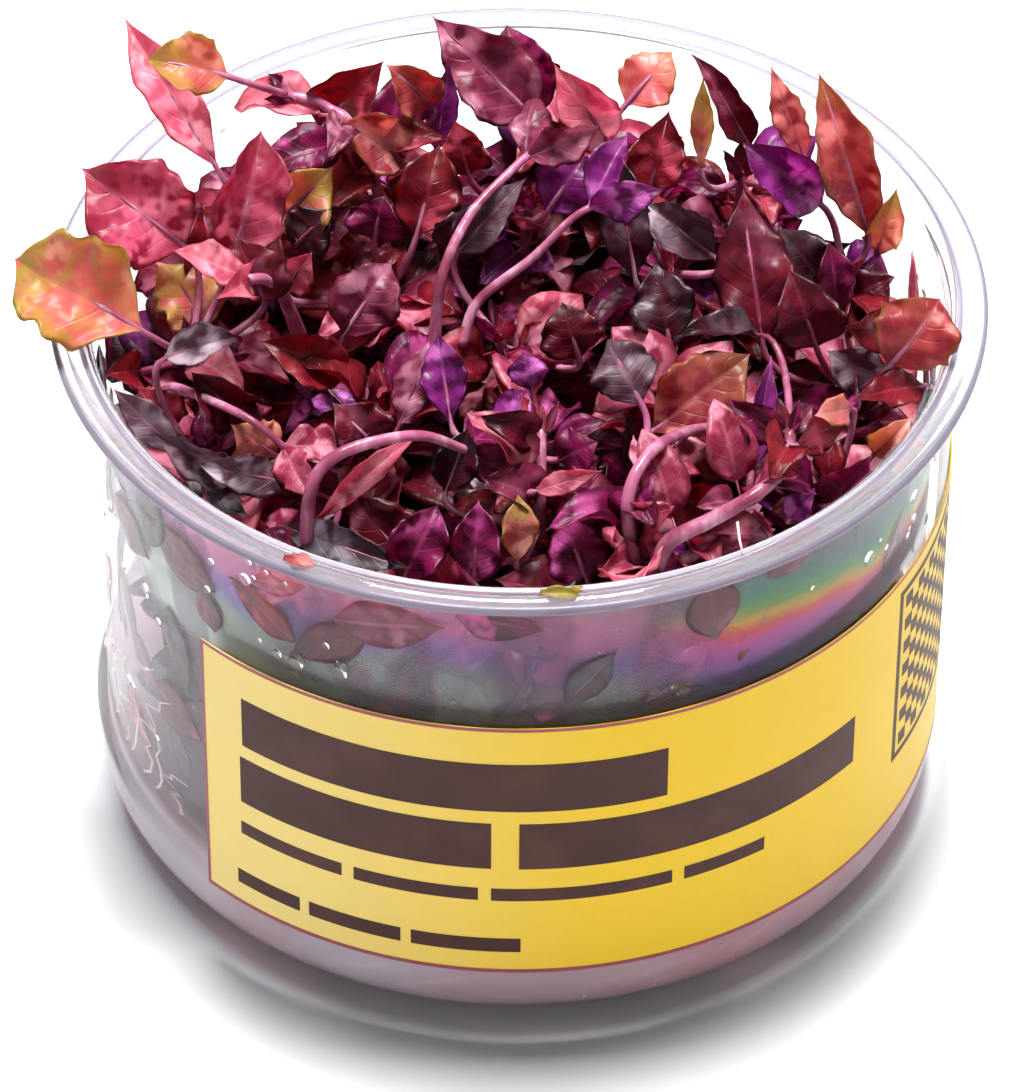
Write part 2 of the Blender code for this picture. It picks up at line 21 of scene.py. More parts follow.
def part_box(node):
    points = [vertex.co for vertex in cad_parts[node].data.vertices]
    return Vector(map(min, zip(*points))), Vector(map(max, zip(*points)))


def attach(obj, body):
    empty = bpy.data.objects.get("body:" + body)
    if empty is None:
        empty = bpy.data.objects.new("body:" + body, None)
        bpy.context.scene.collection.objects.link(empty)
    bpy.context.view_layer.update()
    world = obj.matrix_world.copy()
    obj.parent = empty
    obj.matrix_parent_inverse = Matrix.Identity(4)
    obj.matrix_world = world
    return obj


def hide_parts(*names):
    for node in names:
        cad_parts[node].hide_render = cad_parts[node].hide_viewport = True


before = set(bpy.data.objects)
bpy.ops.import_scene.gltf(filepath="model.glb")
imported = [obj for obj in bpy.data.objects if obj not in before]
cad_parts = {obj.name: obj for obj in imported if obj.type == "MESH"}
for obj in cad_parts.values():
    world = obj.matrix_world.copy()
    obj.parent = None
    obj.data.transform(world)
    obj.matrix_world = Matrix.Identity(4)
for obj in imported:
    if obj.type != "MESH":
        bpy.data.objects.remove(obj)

LOG = logging.getLogger("culture_cup")
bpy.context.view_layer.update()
MM = 0.001
BODY = "root"
WHITE = (1.0, 1.0, 1.0)

Point = tuple[float, float, float]
Colour = tuple[float, float, float]
Pair = tuple[float, float]
Outline = list[Pair]
Faces = list[tuple[int, ...]]
Grid = list[list[Vector]]
Socket = bpy.types.NodeSocket
Skin = bpy.types.Material

# Stems and leaves: the same sizes as the frame's solids
STEM_RADIUS = 0.95
STEM_TIP_RADIUS = 0.55
STEM_SIDES = 4
STEM_STEP = 11.0
LAST_ROOT_SHARE = 0.85
GEL_TOP = 13.0
FIT_GAP = 0.3
LEAF_THICKNESS = 0.46
STALK_RADIUS = 0.42
LARGE_STATIONS = (0.0, 0.18, 0.45, 0.75, 1.0)
SMALL_STATIONS = (0.0, 0.33, 0.7, 1.0)
SMALL_LEAF = 10.0
EDGE_LIFT = 0.16
EDGE_WAVE = 0.13
SIGHT = Vector((0.0, 0.747, -0.665))
SLIDE_STEP = 1.2
SLIDES = (0, 1, -1, 2, -2, 3, -3, 4, -4, 5, 6)
TURNS = (0, 14, -14, 28, -28, 42, -42)

# Stems by name, each a route of points from the gel to its growing tip
STEMS = {
    "centre": ((0, 0, 13), (1, 2, 38), (-2, -1, 60)),
    "inner_front": ((-1, -18, 13), (2, -17, 36), (2.5, -25, 56), (2.5, -19, 63)),
    "inner_front_left": ((-14, -10, 13), (-13, -9, 36), (-15, -12, 59)),
    "inner_front_right": ((15, -11, 13), (16, -9, 36), (17, -10, 59)),
    "inner_back": ((2, 17, 13), (0, 18, 38), (1, 18, 63)),
    "inner_back_left": ((-15, 10, 13), (-14, 8, 38), (-15, 7, 60)),
    "inner_back_right": ((15, 10, 13), (16, 8, 38), (17, 9, 62)),
    "outer_front_left": ((-20, -28, 13), (-21, -29, 34), (-22, -29, 54)),
    "outer_left_low": ((-33, -16, 13), (-32, -17, 34), (-33, -17, 56)),
    "outer_left": ((-36, 3, 13), (-35, 1, 36), (-35, -3, 60)),
    "outer_back_left": ((-28, 22, 13), (-27, 20, 36), (-29, 12, 64)),
    "arching_back_left": ((-13, 32, 13), (-14, 28, 42), (-16.5, 18, 70), (-21, 19.5, 75), (-25, 20, 76)),
    "outer_back": ((6, 35, 13), (5, 32, 38), (5, 26, 66)),
    "outer_back_right": ((25, 26, 13), (24, 24, 38), (24, 21, 65)),
    "outer_right_high": ((35, 12, 13), (34, 11, 38), (35, 9, 61)),
    "outer_right": ((36, -5, 13), (35, -6, 36), (36, -6, 58)),
    "outer_right_low": ((30, -22, 13), (31, -21, 34), (33, -19, 54)),
    "arching_front_right": (
        (14, -32, 13), (13, -34, 38), (15.5, -33, 55), (19, -31, 60),
        (25, -28.5, 62), (28, -25.5, 64), (28.5, -22.5, 66),
    ),
    "hooked_front": ((6, -34, 13), (8, -34, 38), (12.5, -31, 57), (11.5, -28, 60.5), (13, -24, 62.5)),
    "outer_front": ((-8, -35, 13), (-7, -34, 32), (-6, -33, 50)),
}

# Leaves that stand alone: blade foot, tip, width across, arch, turn about the chord, colour
BIG_LEAVES = {
    "far_left": ((-39.5, -10, 68), (-54.5, -2.5, 72), 12.5, 3, 10, "olive"),
    "mauve_left": ((-35.5, 4, 68), (-46.5, 8.5, 75), 12, 4, 0, "rose"),
    "forked_top_left": ((-32.5, 11.5, 73), (-43, 24, 84), 5.5, 3, 0, "pink"),
    "olive_top_left": ((-31, 15.5, 82), (-40, 16, 84), 7, 2, 10, "olive"),
    "rose_left": ((-30.5, 4, 66), (-27.5, 12.5, 77), 10, 4, 10, "rose"),
    "olive_left": ((-33.5, -4.5, 64), (-39, 0, 70), 9, 3, 0, "olive"),
    "crimson_back_left": ((-21.5, 20.5, 71), (-14.5, 21.5, 80), 9, 3, 0, "crimson"),
    "orange_back": ((-9.5, 20.5, 74), (-14.5, 21, 80), 6, 2, 0, "salmon"),
    "violet_back": ((-9, 19.5, 69), (-7.5, 21.5, 80), 3.5, 1, 0, "violet"),
    "mauve_back": ((1.5, 23, 71), (-10, 29.5, 80), 9, 3, 0, "mauve"),
    "magenta_back": ((0.5, 24.5, 70), (-1.5, 28, 81), 9, 3, 0, "magenta"),
    "folded_back": ((9.5, 21, 69), (3.5, 22, 79), 7.5, 5, 0, "pink"),
    "peach_back": ((11.5, 20.5, 75), (16.5, 25, 79), 6.5, 2, 0, "peach"),
    "red_back": ((14, 14, 68), (16, 18, 76), 6.5, 2, 0, "crimson"),
    "slender_back_right": ((25, 18.5, 71), (18.5, 22, 82), 4.5, 2, 0, "burgundy"),
    "upright_back_right": ((19.5, 15.5, 70), (19.5, 19, 80), 2.5, 1, 0, "olive"),
    "salmon_back_right": ((37.5, 9.5, 66), (31.5, 16.5, 84), 6.5, 4, 0, "salmon"),
    "flap_back_right": ((30.5, 14.5, 72), (26.5, 18.5, 82), 3.5, 2, 0, "salmon"),
    "violet_right": ((32.5, 13, 67), (23.5, 14, 75), 7.5, 3, 0, "violet"),
    "olive_right": ((38.5, 6.5, 66), (40.5, 8, 74), 5, 2, 0, "olive"),
    "salmon_right": ((39, -8, 62), (45, -3.5, 69), 9.5, 3, 0, "salmon"),
    "burgundy_right": ((26, -4.5, 62), (23.5, 7, 74), 8.5, 3, 0, "burgundy"),
    "silver_right": ((21, 4, 67), (13, 7.5, 72), 6, 2, 0, "silver"),
    "dark_upright": ((12.5, 4, 64), (10, 12.5, 75), 6, 3, 0, "black"),
    "silver_arch": ((-6.5, 6, 66), (1, 9.5, 74), 5, 3, 0, "silver"),
    "silver_centre": ((13, -19, 66), (9, -13.5, 71), 7.5, 2, 0, "silver"),
    "brown_front_right": ((14, -21, 64), (24.5, -15, 70), 8.5, 2, 0, "salmon"),
    "violet_front_right": ((24.5, -24.5, 62), (26.5, -16.5, 71), 3.2, 2, 0, "violet"),
    "violet_centre": ((-7, -18.5, 63), (-8.5, -12, 70), 5, 1, 0, "violet"),
    "pink_arch_front": ((-21, -28.5, 58), (-10, -23, 66), 2.8, 5, 0, "pink"),
    "slate_front": ((-24.5, -29.5, 58), (-11, -38.5, 60), 4.5, 1, 0, "slate"),
    "silver_rim_left": ((-28.5, -22, 58), (-38.5, -20, 63), 4.5, 1, 0, "silver"),
    "peach_front_left": ((-25.5, -21.5, 61), (-30, -22.5, 66), 6, 1, 0, "peach"),
    "crimson_left": ((-18, -9.5, 62), (-27.5, -10, 67), 6, 2, 0, "crimson"),
    "crimson_rim_right": ((43, -12, 63), (35, -18, 66), 4.5, 1, 0, "crimson"),
}

# Leaves fused to the stem that bears them, in the same columns
STEM_LEAVES = {
    "slate_left": ((-35, -25.5, 62), (-28, -31, 60.5), 4.5, 0, 0, "slate"),
    "red_arch_left": ((-33, 3, 66), (-34, 5, 74), 7, 5, 20, "crimson"),
    "burgundy_left": ((-27, 0, 64), (-30, 1.5, 72), 8, 3, 0, "burgundy"),
    "salmon_back_left": ((-12.5, 18.5, 68), (-20, 19, 73), 7, 3, 10, "salmon"),
    "purple_back": ((3, 11.5, 67), (7.5, 15, 73), 7, 2, 0, "violet"),
    "black_back": ((-7.5, 7.5, 64), (-3.5, 8, 72), 6, 2, 0, "black"),
    "grey_left": ((-37, -12, 66), (-29, -9.5, 67), 4.5, 2, -10, "silver"),
    "dark_left": ((-29.5, -14, 60), (-34.5, -14, 66), 7, 3, 0, "burgundy"),
    "silver_rim_far_left": ((-35.5, -21.5, 61), (-42.5, -18, 67), 4, 1, 0, "silver"),
    "mauve_front_left": ((-22.5, -24, 59), (-34, -25.5, 63), 4.5, 1, 0, "silver"),
    "mauve_centre": ((-12.5, -18, 62), (-9, -12, 69), 4.5, 1, 0, "mauve"),
    "black_front": ((-7.5, -26, 60), (-5, -22.5, 66), 5, 1, 0, "black"),
    "pink_edge_front": ((2, -27, 61), (9, -27, 64), 2.6, 1, 0, "pink"),
    "olive_front": ((0, -33.5, 57), (0.5, -30.5, 64), 4, 1, 0, "olive"),
    "violet_round": ((1.5, -14.5, 64), (0.5, -12.5, 68), 4.5, 1, 0, "violet"),
    "black_flat": ((25.5, -7.5, 66), (16, -12, 70), 4, 1, 40, "black"),
    "crimson_right": ((39.5, -5.5, 65), (34, -9.5, 69), 6, 2, 0, "crimson"),
    "grey_right": ((38.5, -11, 64), (32.5, -12, 68), 6, 2, 0, "silver"),
    "tan_right": ((35, -17, 64), (31, -21.5, 67), 3.5, 1, 0, "peach"),
    "olive_low_right": ((37.5, -17.5, 58), (41.5, -17, 63), 4.5, 1, 0, "olive"),
    "magenta_low_right": ((33, -23, 56), (37, -22, 62), 6.5, 1, 0, "magenta"),
    "violet_curl_right": ((28.5, -27.5, 58), (31, -28, 62), 3.5, 1, 0, "violet"),
    "red_rim_left": ((-40, -10.5, 63), (-43.5, -14.5, 66), 4.5, 1, 0, "crimson"),
    "crimson_back": ((-11, 8.5, 66), (-8.5, 14.5, 74), 7.5, 2, 0, "crimson"),
    "magenta_back_left": ((-15.5, 9, 65), (-14.5, 10, 71), 6.5, 2, 0, "magenta"),
    "olive_back_left": ((-25, 10.5, 67), (-19.5, 10.5, 74), 8, 3, 0, "olive"),
    "black_back_left": ((-24, 6.5, 66), (-20, 7, 71), 6, 2, 0, "black"),
    "orange_edge_left": ((-25.5, 1.5, 65), (-25, 6.5, 72), 4, 2, 0, "salmon"),
    "pink_left": ((-25, 1.5, 64), (-22, 1, 70), 4.5, 1, 0, "pink"),
    "crimson_back_small": ((-5.5, 16.5, 68), (-7, 18.5, 74), 6, 2, 0, "crimson"),
    "mauve_left_centre": ((-18.5, -4.5, 63), (-13, 0.5, 70), 7.5, 3, 0, "mauve"),
    "magenta_right": ((34, 0, 63), (33, 2.5, 71), 4.5, 2, 0, "magenta"),
    "dark_right": ((31.5, -4.5, 62), (28.5, -1, 70), 7.5, 2, 0, "burgundy"),
    "black_right": ((33, 3, 64), (27.5, 4.5, 71), 6, 2, 0, "black"),
    "black_centre": ((16, -5, 63), (14.5, 1, 69), 7, 2, 0, "black"),
    "burgundy_front": ((-10, -33.5, 55), (-18, -29.5, 63), 8, 2, 0, "burgundy"),
    "magenta_front_left": ((-12, -34, 54), (-8, -29.5, 62), 7, 2, 0, "magenta"),
    "magenta_front": ((-4.5, -33, 53), (-4, -28.5, 61), 6, 2, 0, "magenta"),
    "magenta_front_right": ((7.5, -34, 54), (4.5, -31, 62), 7, 2, 0, "magenta"),
    "crimson_front_right": ((21, -27, 57), (15, -26.5, 62), 7, 1, 0, "crimson"),
    "magenta_centre_right": ((25.5, -20, 62), (19, -24, 64), 6, 1, 0, "magenta"),
    "pink_front_right": ((23.5, -31, 55), (13, -34, 56), 3, 1, 0, "pink"),
    "burgundy_centre": ((6.5, -7, 62), (4.5, -4.5, 68), 7, 2, 0, "burgundy"),
    "burgundy_left_centre": ((-14.5, -18.5, 59), (-19.5, -17.5, 65), 7, 2, 0, "burgundy"),
    "magenta_centre": ((4.5, -22, 61), (8.5, -22.5, 64), 6, 2, 0, "magenta"),
    "crimson_low_left": ((-36.5, -14.5, 58), (-40, -14, 64), 6, 2, 0, "crimson"),
    "burgundy_low_left": ((-19.5, -24, 57), (-26, -24, 61), 7, 2, 0, "burgundy"),
}

# Leaves below the canopy on every stem: height, bearing, reach, width and rise
UNDER_LEAVES = (
    (27.0, 90, 9.0, 5.5, 3.0),
    (45.0, 0, 13.0, 9.0, 6.0),
    (47.0, 180, 13.0, 9.0, 6.0),
)
UNDER_BEARING_STEP = 137
UNDER_STALK = 2.6
UNDER_TURNS = (0, 15, -15, 30, -30, 45, -45, 60, -60, 75, -75, 90, -90)
UNDER_DROPS = (0.0, -4.0, 4.0)
UNDER_COLOURS = ("burgundy", "magenta", "black", "crimson")


class Hue(Enum):
    """The families of leaf colour in the cup."""

    OLIVE = "olive"
    SALMON = "salmon"
    PEACH = "peach"
    PINK = "pink"
    ROSE = "rose"
    CRIMSON = "crimson"
    MAGENTA = "magenta"
    VIOLET = "violet"
    MAUVE = "mauve"
    BURGUNDY = "burgundy"
    BLACK = "black"
    SILVER = "silver"
    SLATE = "slate"
    LIME = "lime"


class Grade(Enum):
    """How finely a blade is meshed: cells along it and across it."""

    LARGE = (34, 14)
    MIDDLE = (22, 10)
    LOW = (14, 8)


# The colour sockets of a Mix node
COLOUR_ONE, COLOUR_TWO, MIXED_COLOUR = 6, 7, 2


class Nodes:
    """A node tree, built one node at a time."""

    tree: bpy.types.NodeTree

    def put(self, socket: Socket, value: object) -> None:
        """Link a socket to another, or set its value."""
        if isinstance(value, Socket):
            self.tree.links.new(value, socket)
        elif isinstance(value, tuple) and len(value) == 3 and socket.type == "RGBA":
            socket.default_value = (*value, 1.0)
        else:
            socket.default_value = value

    def node(self, kind: str, inputs: dict[object, object], **settings: object) -> bpy.types.Node:
        """Add a node.

        Args:
            kind: the node's Blender type.
            inputs: a value or a socket for each input, by name or number.
            **settings: the node's own properties.

        Returns:
            The node.
        """
        made = self.tree.nodes.new(kind)
        for key, value in settings.items():
            setattr(made, key, value)
        for key, value in inputs.items():
            self.put(made.inputs[key], value)
        return made

    def ramp(self, value: object, stops: Sequence[tuple[float, Colour]]) -> Socket:
        """A colour read from a ramp.

        Args:
            value: the place on the ramp.
            stops: each stop's place and colour, in order.

        Returns:
            The colour's socket.
        """
        made = self.node("ShaderNodeValToRGB", {"Fac": value})
        marks = made.color_ramp.elements
        marks[0].position, marks[0].color = stops[0][0], (*stops[0][1], 1.0)
        marks[1].position, marks[1].color = stops[-1][0], (*stops[-1][1], 1.0)
        for at, colour in stops[1:-1]:
            marks.new(at).color = (*colour, 1.0)
        return made.outputs[0]


@dataclass
class Paint(Nodes):
    """A material's node tree.

    Attributes:
        name: the material's name.
    """

    name: str

    def __post_init__(self) -> None:
        """Start with an empty tree and its output."""
        self.material = bpy.data.materials.new(self.name)
        self.material.use_nodes = True
        self.tree = self.material.node_tree
        self.tree.nodes.clear()
        self.output = self.tree.nodes.new("ShaderNodeOutputMaterial")

    def math(self, operation: str, one: object, two: object = 0.0, clamp: bool = False) -> Socket:
        """One step of arithmetic on numbers."""
        made = self.node("ShaderNodeMath", {0: one, 1: two}, operation=operation, use_clamp=clamp)
        return made.outputs[0]

    def times(self, *factors: object) -> Socket:
        """The product of numbers."""
        return reduce(lambda one, two: self.math("MULTIPLY", one, two), factors)

    def plus(self, one: object, two: object, clamp: bool = False) -> Socket:
        """The sum of two numbers."""
        return self.math("ADD", one, two, clamp)

    def minus(self, one: object, two: object) -> Socket:
        """The difference of two numbers."""
        return self.math("SUBTRACT", one, two)

    def step(self, value: object, low: float, high: float) -> Socket:
        """A smooth step from 0 at low to 1 at high, which may be the smaller number."""
        start, stop = (0.0, 1.0) if low < high else (1.0, 0.0)
        ends = {
            "From Min": min(low, high), "From Max": max(low, high), "To Min": start, "To Max": stop}
        inputs = {"Value": value, **ends}
        return self.node("ShaderNodeMapRange", inputs, interpolation_type="SMOOTHSTEP").outputs[0]

    def band(self, value: object, one: Pair, two: Pair) -> Socket:
        """A smooth step at one end of a band, times a smooth step at its other end."""
        return self.times(self.step(value, *one), self.step(value, *two))

    def mix(self, share: object, one: object, two: object, blend: str = "MIX") -> Socket:
        """A mix of two colours."""
        made = self.node("ShaderNodeMix", {0: share}, data_type="RGBA", blend_type=blend)
        self.put(made.inputs[COLOUR_ONE], one)
        self.put(made.inputs[COLOUR_TWO], two)
        return made.outputs[MIXED_COLOUR]

    def place(self, kind: str = "Object") -> Socket:
        """The Object or UV coordinates of the piece."""
        return self.node("ShaderNodeTexCoord", {}).outputs[kind]

    def split(self, vector: Socket) -> list[Socket]:
        """The three numbers of a vector."""
        return list(self.node("ShaderNodeSeparateXYZ", {"Vector": vector}).outputs)

    def noise(self, scale: float, detail: float = 3.0, stretch: Point = (1.0, 1.0, 1.0)) -> Socket:
        """Noise on Object coordinates, from about 0.3 to 0.7."""
        spot = self.node("ShaderNodeMapping", {"Vector": self.place(), "Scale": stretch}).outputs[0]
        made = self.node("ShaderNodeTexNoise", {"Vector": spot, "Scale": scale, "Detail": detail})
        return made.outputs[0]

    def bump(self, height: object, strength: float, distance: float) -> Socket:
        """A normal from a height."""
        inputs = {"Height": height, "Strength": strength, "Distance": distance}
        return self.node("ShaderNodeBump", inputs).outputs[0]

    def surface(
        self, colour: object, roughness: float, more: dict[str, object] | None = None
    ) -> Socket:
        """A plain or clear surface, with any other inputs by name."""
        inputs = {"Base Color": colour, "Roughness": roughness, **(more or {})}
        return self.node("ShaderNodeBsdfPrincipled", inputs).outputs[0]

    def between(self, share: object, one: Socket, two: Socket) -> Socket:
        """A mix of two shaders."""
        return self.node("ShaderNodeMixShader", {0: share, 1: one, 2: two}).outputs[0]

    def lit_through(self, shader: Socket, tint: Colour) -> Socket:
        """Let light from lamps and from lit pieces pass straight through a clear shader.

        Args:
            shader: the shader that the viewer sees.
            tint: the colour of the light behind it.

        Returns:
            The shader with both kinds of light let through.
        """
        path = self.node("ShaderNodeLightPath", {})
        clear = self.node("ShaderNodeBsdfTransparent", {"Color": tint}).outputs[0]
        for ray in ("Is Diffuse Ray", "Is Shadow Ray"):
            shader = self.between(path.outputs[ray], shader, clear)
        return shader

    def finish(self, shader: Socket) -> Skin:
        """Connect the shader to the output and give the material."""
        self.tree.links.new(shader, self.output.inputs["Surface"])
        return self.material


# How far a side vein leans forward on its way to the margin, as a share of the blade, and its bend
VEIN_LEAN = 0.24
VEIN_BEND = 1.3
# Where a side vein shows in its wave, and the midrib across the blade
SIDE_VEIN = (0.78, 0.98)
MIDRIB = (0.12, 0.03)
# Patches, smaller patches and dents, as the scale of their noise
WIDE_SCALE = 150.0
PATCH_SCALE = 480.0
CRUMPLE_SCALE = 430.0
# How much of each colour is laid over those below it
FOOT_SHARE = 0.7
UNDER_FOOT_SHARE = 0.35
# The pale patches are painted highlights, laid at random
PAINTED_HIGHLIGHT_SHARE = 0.85
VEIN_SHARE = 0.11
MIDRIB_SHARE = 0.5
TIP_SHARE = 0.8
MARGIN_SHARE = 0.7
# The veins' rise among the dents, and the dents' depth in metres
RIB_RISE = 0.07
DENT_DEPTH = 0.0011
UNDER_DULLER = 0.12
# The colour of the light that passes through, as a multiple of the blade's
GLOW_TINT = (1.9, 1.5, 1.6)


@dataclass(frozen=True)
class LeafFinish:
    """Colours and gloss of one family of leaves, in linear light.

    Attributes:
        blade: the upper side.
        heart: darker or redder patches, and the upper side towards the stalk.
        edge: the margin.
        vein: the midrib and the side veins.
        light: pale patches laid at random over the blade, painted highlights.
        under: the lower side.
        glow: share of light that passes through.
        gloss: roughness of the upper side; the lower side is duller.
        veins: number of side veins on each half.
    """

    blade: Colour
    heart: Colour
    edge: Colour
    vein: Colour
    light: Colour
    under: Colour
    glow: float = 0.4
    gloss: float = 0.38
    veins: int = 7

    def vein_share(self, paint: Paint, along: object, off: object) -> tuple[object, object]:
        """Where the side veins and the midrib run.

        Args:
            paint: the material.
            along: the place along the blade, from 0 to 1.
            off: the distance from the midrib, from 0 to 1.

        Returns:
            The side veins' share and the midrib's.
        """
        lean = paint.minus(along, paint.times(paint.math("POWER", off, VEIN_BEND), VEIN_LEAN))
        wave = paint.math("FRACT", paint.plus(paint.times(lean, float(self.veins)), 4.0))
        crest = paint.times(paint.math("ABSOLUTE", paint.minus(wave, 0.5)), 2.0)
        side = paint.times(paint.step(crest, *SIDE_VEIN), paint.step(off, 1.0, 0.55))
        return side, paint.step(off, *MIDRIB)

    def coat(self, name: str, lower: bool) -> Skin:
        """Make the material of one side.

        Args:
            name: the material's name.
            lower: whether it is the lower side.

        Returns:
            The material.
        """
        paint = Paint(name)
        along, across, _ = paint.split(paint.place("UV"))
        off = paint.times(paint.math("ABSOLUTE", paint.minus(across, 0.5)), 2.0)
        side, midrib = self.vein_share(paint, along, off)
        wide = paint.noise(WIDE_SCALE, 0.0)
        patch = paint.noise(PATCH_SCALE, 1.0)
        crumple = paint.noise(CRUMPLE_SCALE, 1.0)
        first, second = (self.under, self.blade) if lower else (self.blade, self.heart)
        colour = paint.mix(paint.step(patch, 0.40, 0.62), first, second)
        foot = paint.times(paint.step(off, 0.95, 0.1), paint.step(along, 0.75, 0.0))
        foot_share = UNDER_FOOT_SHARE if lower else FOOT_SHARE
        colour = paint.mix(paint.times(foot, foot_share), colour, self.heart)
        # Pale patches of painted highlight, laid at random over the blade
        pale = paint.times(paint.step(wide, 0.50, 0.66), paint.step(patch, 0.62, 0.42))
        colour = paint.mix(paint.times(pale, PAINTED_HIGHLIGHT_SHARE), colour, self.light)
        colour = paint.mix(paint.times(side, VEIN_SHARE), colour, self.vein)
        colour = paint.mix(paint.times(midrib, MIDRIB_SHARE), colour, self.vein)
        far = paint.times(paint.step(along, 0.45, 1.0), paint.step(wide, 0.60, 0.42))
        colour = paint.mix(paint.times(far, TIP_SHARE), colour, self.edge)
        colour = paint.mix(paint.times(paint.step(off, 0.72, 1.0), MARGIN_SHARE), colour, self.edge)
        ribs = paint.times(paint.math("MAXIMUM", side, midrib), RIB_RISE if lower else -RIB_RISE)
        normal = paint.bump(paint.plus(crumple, ribs), 0.5, DENT_DEPTH)
        roughness = self.gloss + (UNDER_DULLER if lower else 0.0)
        skin = paint.surface(colour, roughness, {"Normal": normal, "Specular IOR Level": 0.45})
        through = paint.mix(1.0, colour, GLOW_TINT, "MULTIPLY")
        lit = paint.node("ShaderNodeBsdfTranslucent", {"Color": through, "Normal": normal})
        return paint.finish(paint.between(self.glow, skin, lit.outputs[0]))


# In the order blade, heart, edge, vein, light, under, glow, gloss
LEAF_FINISHES = {
    Hue.OLIVE: LeafFinish(
        (0.48, 0.31, 0.09), (0.60, 0.16, 0.16), (0.38, 0.33, 0.05),
        (0.62, 0.24, 0.20), (0.78, 0.46, 0.38), (0.56, 0.24, 0.18), 0.5),
    Hue.SALMON: LeafFinish(
        (0.46, 0.11, 0.10), (0.32, 0.032, 0.055), (0.32, 0.13, 0.04),
        (0.60, 0.22, 0.21), (0.72, 0.34, 0.31), (0.54, 0.17, 0.17), 0.5),
    Hue.PEACH: LeafFinish(
        (0.68, 0.32, 0.26), (0.60, 0.18, 0.20), (0.54, 0.27, 0.12),
        (0.72, 0.32, 0.30), (0.82, 0.52, 0.46), (0.70, 0.35, 0.30), 0.5),
    Hue.PINK: LeafFinish(
        (0.70, 0.28, 0.35), (0.56, 0.11, 0.20), (0.50, 0.09, 0.13),
        (0.78, 0.38, 0.44), (0.88, 0.56, 0.62), (0.74, 0.40, 0.50), 0.45),
    Hue.ROSE: LeafFinish(
        (0.54, 0.11, 0.20), (0.34, 0.028, 0.08), (0.34, 0.04, 0.07),
        (0.66, 0.22, 0.33), (0.80, 0.38, 0.49), (0.60, 0.20, 0.34), 0.45),
    Hue.CRIMSON: LeafFinish(
        (0.31, 0.014, 0.028), (0.17, 0.006, 0.018), (0.14, 0.010, 0.008),
        (0.46, 0.05, 0.09), (0.56, 0.09, 0.15), (0.42, 0.05, 0.11), 0.45),
    Hue.MAGENTA: LeafFinish(
        (0.27, 0.008, 0.095), (0.12, 0.003, 0.036), (0.10, 0.003, 0.022),
        (0.48, 0.05, 0.22), (0.58, 0.11, 0.36), (0.46, 0.06, 0.28), 0.45),
    Hue.VIOLET: LeafFinish(
        (0.32, 0.028, 0.28), (0.16, 0.010, 0.12), (0.12, 0.006, 0.07),
        (0.46, 0.10, 0.38), (0.66, 0.20, 0.60), (0.44, 0.09, 0.40), 0.42),
    Hue.MAUVE: LeafFinish(
        (0.34, 0.06, 0.13), (0.18, 0.015, 0.05), (0.16, 0.012, 0.03),
        (0.50, 0.16, 0.28), (0.60, 0.27, 0.38), (0.48, 0.20, 0.32), 0.4),
    Hue.BURGUNDY: LeafFinish(
        (0.095, 0.005, 0.020), (0.17, 0.006, 0.020), (0.06, 0.004, 0.006),
        (0.26, 0.025, 0.07), (0.34, 0.075, 0.13), (0.27, 0.035, 0.10), 0.35, 0.4),
    Hue.BLACK: LeafFinish(
        (0.020, 0.004, 0.009), (0.065, 0.004, 0.014), (0.014, 0.003, 0.005),
        (0.10, 0.018, 0.035), (0.15, 0.08, 0.105), (0.13, 0.045, 0.08), 0.25, 0.4),
    # Silver: dark leaves, their grey a painted sheen over their own dark colour
    Hue.SILVER: LeafFinish(
        (0.20, 0.13, 0.165), (0.11, 0.035, 0.06), (0.09, 0.03, 0.045),
        (0.30, 0.14, 0.20), (0.48, 0.38, 0.44), (0.26, 0.16, 0.21), 0.3, 0.46),
    Hue.SLATE: LeafFinish(
        (0.080, 0.066, 0.082), (0.065, 0.024, 0.036), (0.035, 0.016, 0.022),
        (0.17, 0.10, 0.13), (0.23, 0.20, 0.24), (0.11, 0.08, 0.105), 0.25, 0.46),
    Hue.LIME: LeafFinish(
        (0.34, 0.36, 0.05), (0.44, 0.26, 0.07), (0.26, 0.26, 0.03),
        (0.46, 0.40, 0.12), (0.60, 0.58, 0.22), (0.42, 0.38, 0.12), 0.5),
}

# The height at which a stem has its tip's colour, in metres
STEM_COLOUR_TOP = 0.075


@dataclass(frozen=True)
class StemFinish:
    """Colours of the fleshy stems, in linear light, from the gel up to the tip, with pale streaks of
    painted highlight.
    """

    foot: Colour = (0.46, 0.22, 0.22)
    middle: Colour = (0.58, 0.16, 0.29)
    tip: Colour = (0.62, 0.18, 0.34)
    # The pale streaks along the stems are painted highlights
    pale: Colour = (0.80, 0.42, 0.56)
    blush: Colour = (0.26, 0.02, 0.06)
    roughness: float = 0.26
    glow: float = 0.3

    def coat(self) -> Skin:
        """Make the stems' material."""
        paint = Paint("stem_skin")
        height = paint.split(paint.place())[2]
        rise = paint.math("DIVIDE", height, STEM_COLOUR_TOP)
        colour = paint.ramp(rise, [(0.0, self.foot), (0.5, self.middle), (1.0, self.tip)])
        sheen_streak = paint.noise(700.0, 3.0, (1.0, 1.0, 0.12))
        blush = paint.noise(110.0, 2.0)
        # Pale streaks of painted highlight, matched by the bump below
        colour = paint.mix(paint.step(sheen_streak, 0.45, 0.7), colour, self.pale)
        colour = paint.mix(paint.times(paint.step(blush, 0.46, 0.62), 0.8), colour, self.blush)
        skin = paint.surface(colour, self.roughness, {"Normal": paint.bump(sheen_streak, 0.5, 0.0003)})
        lit = paint.node("ShaderNodeBsdfTranslucent", {"Color": colour})
        return paint.finish(paint.between(self.glow, skin, lit.outputs[0]))


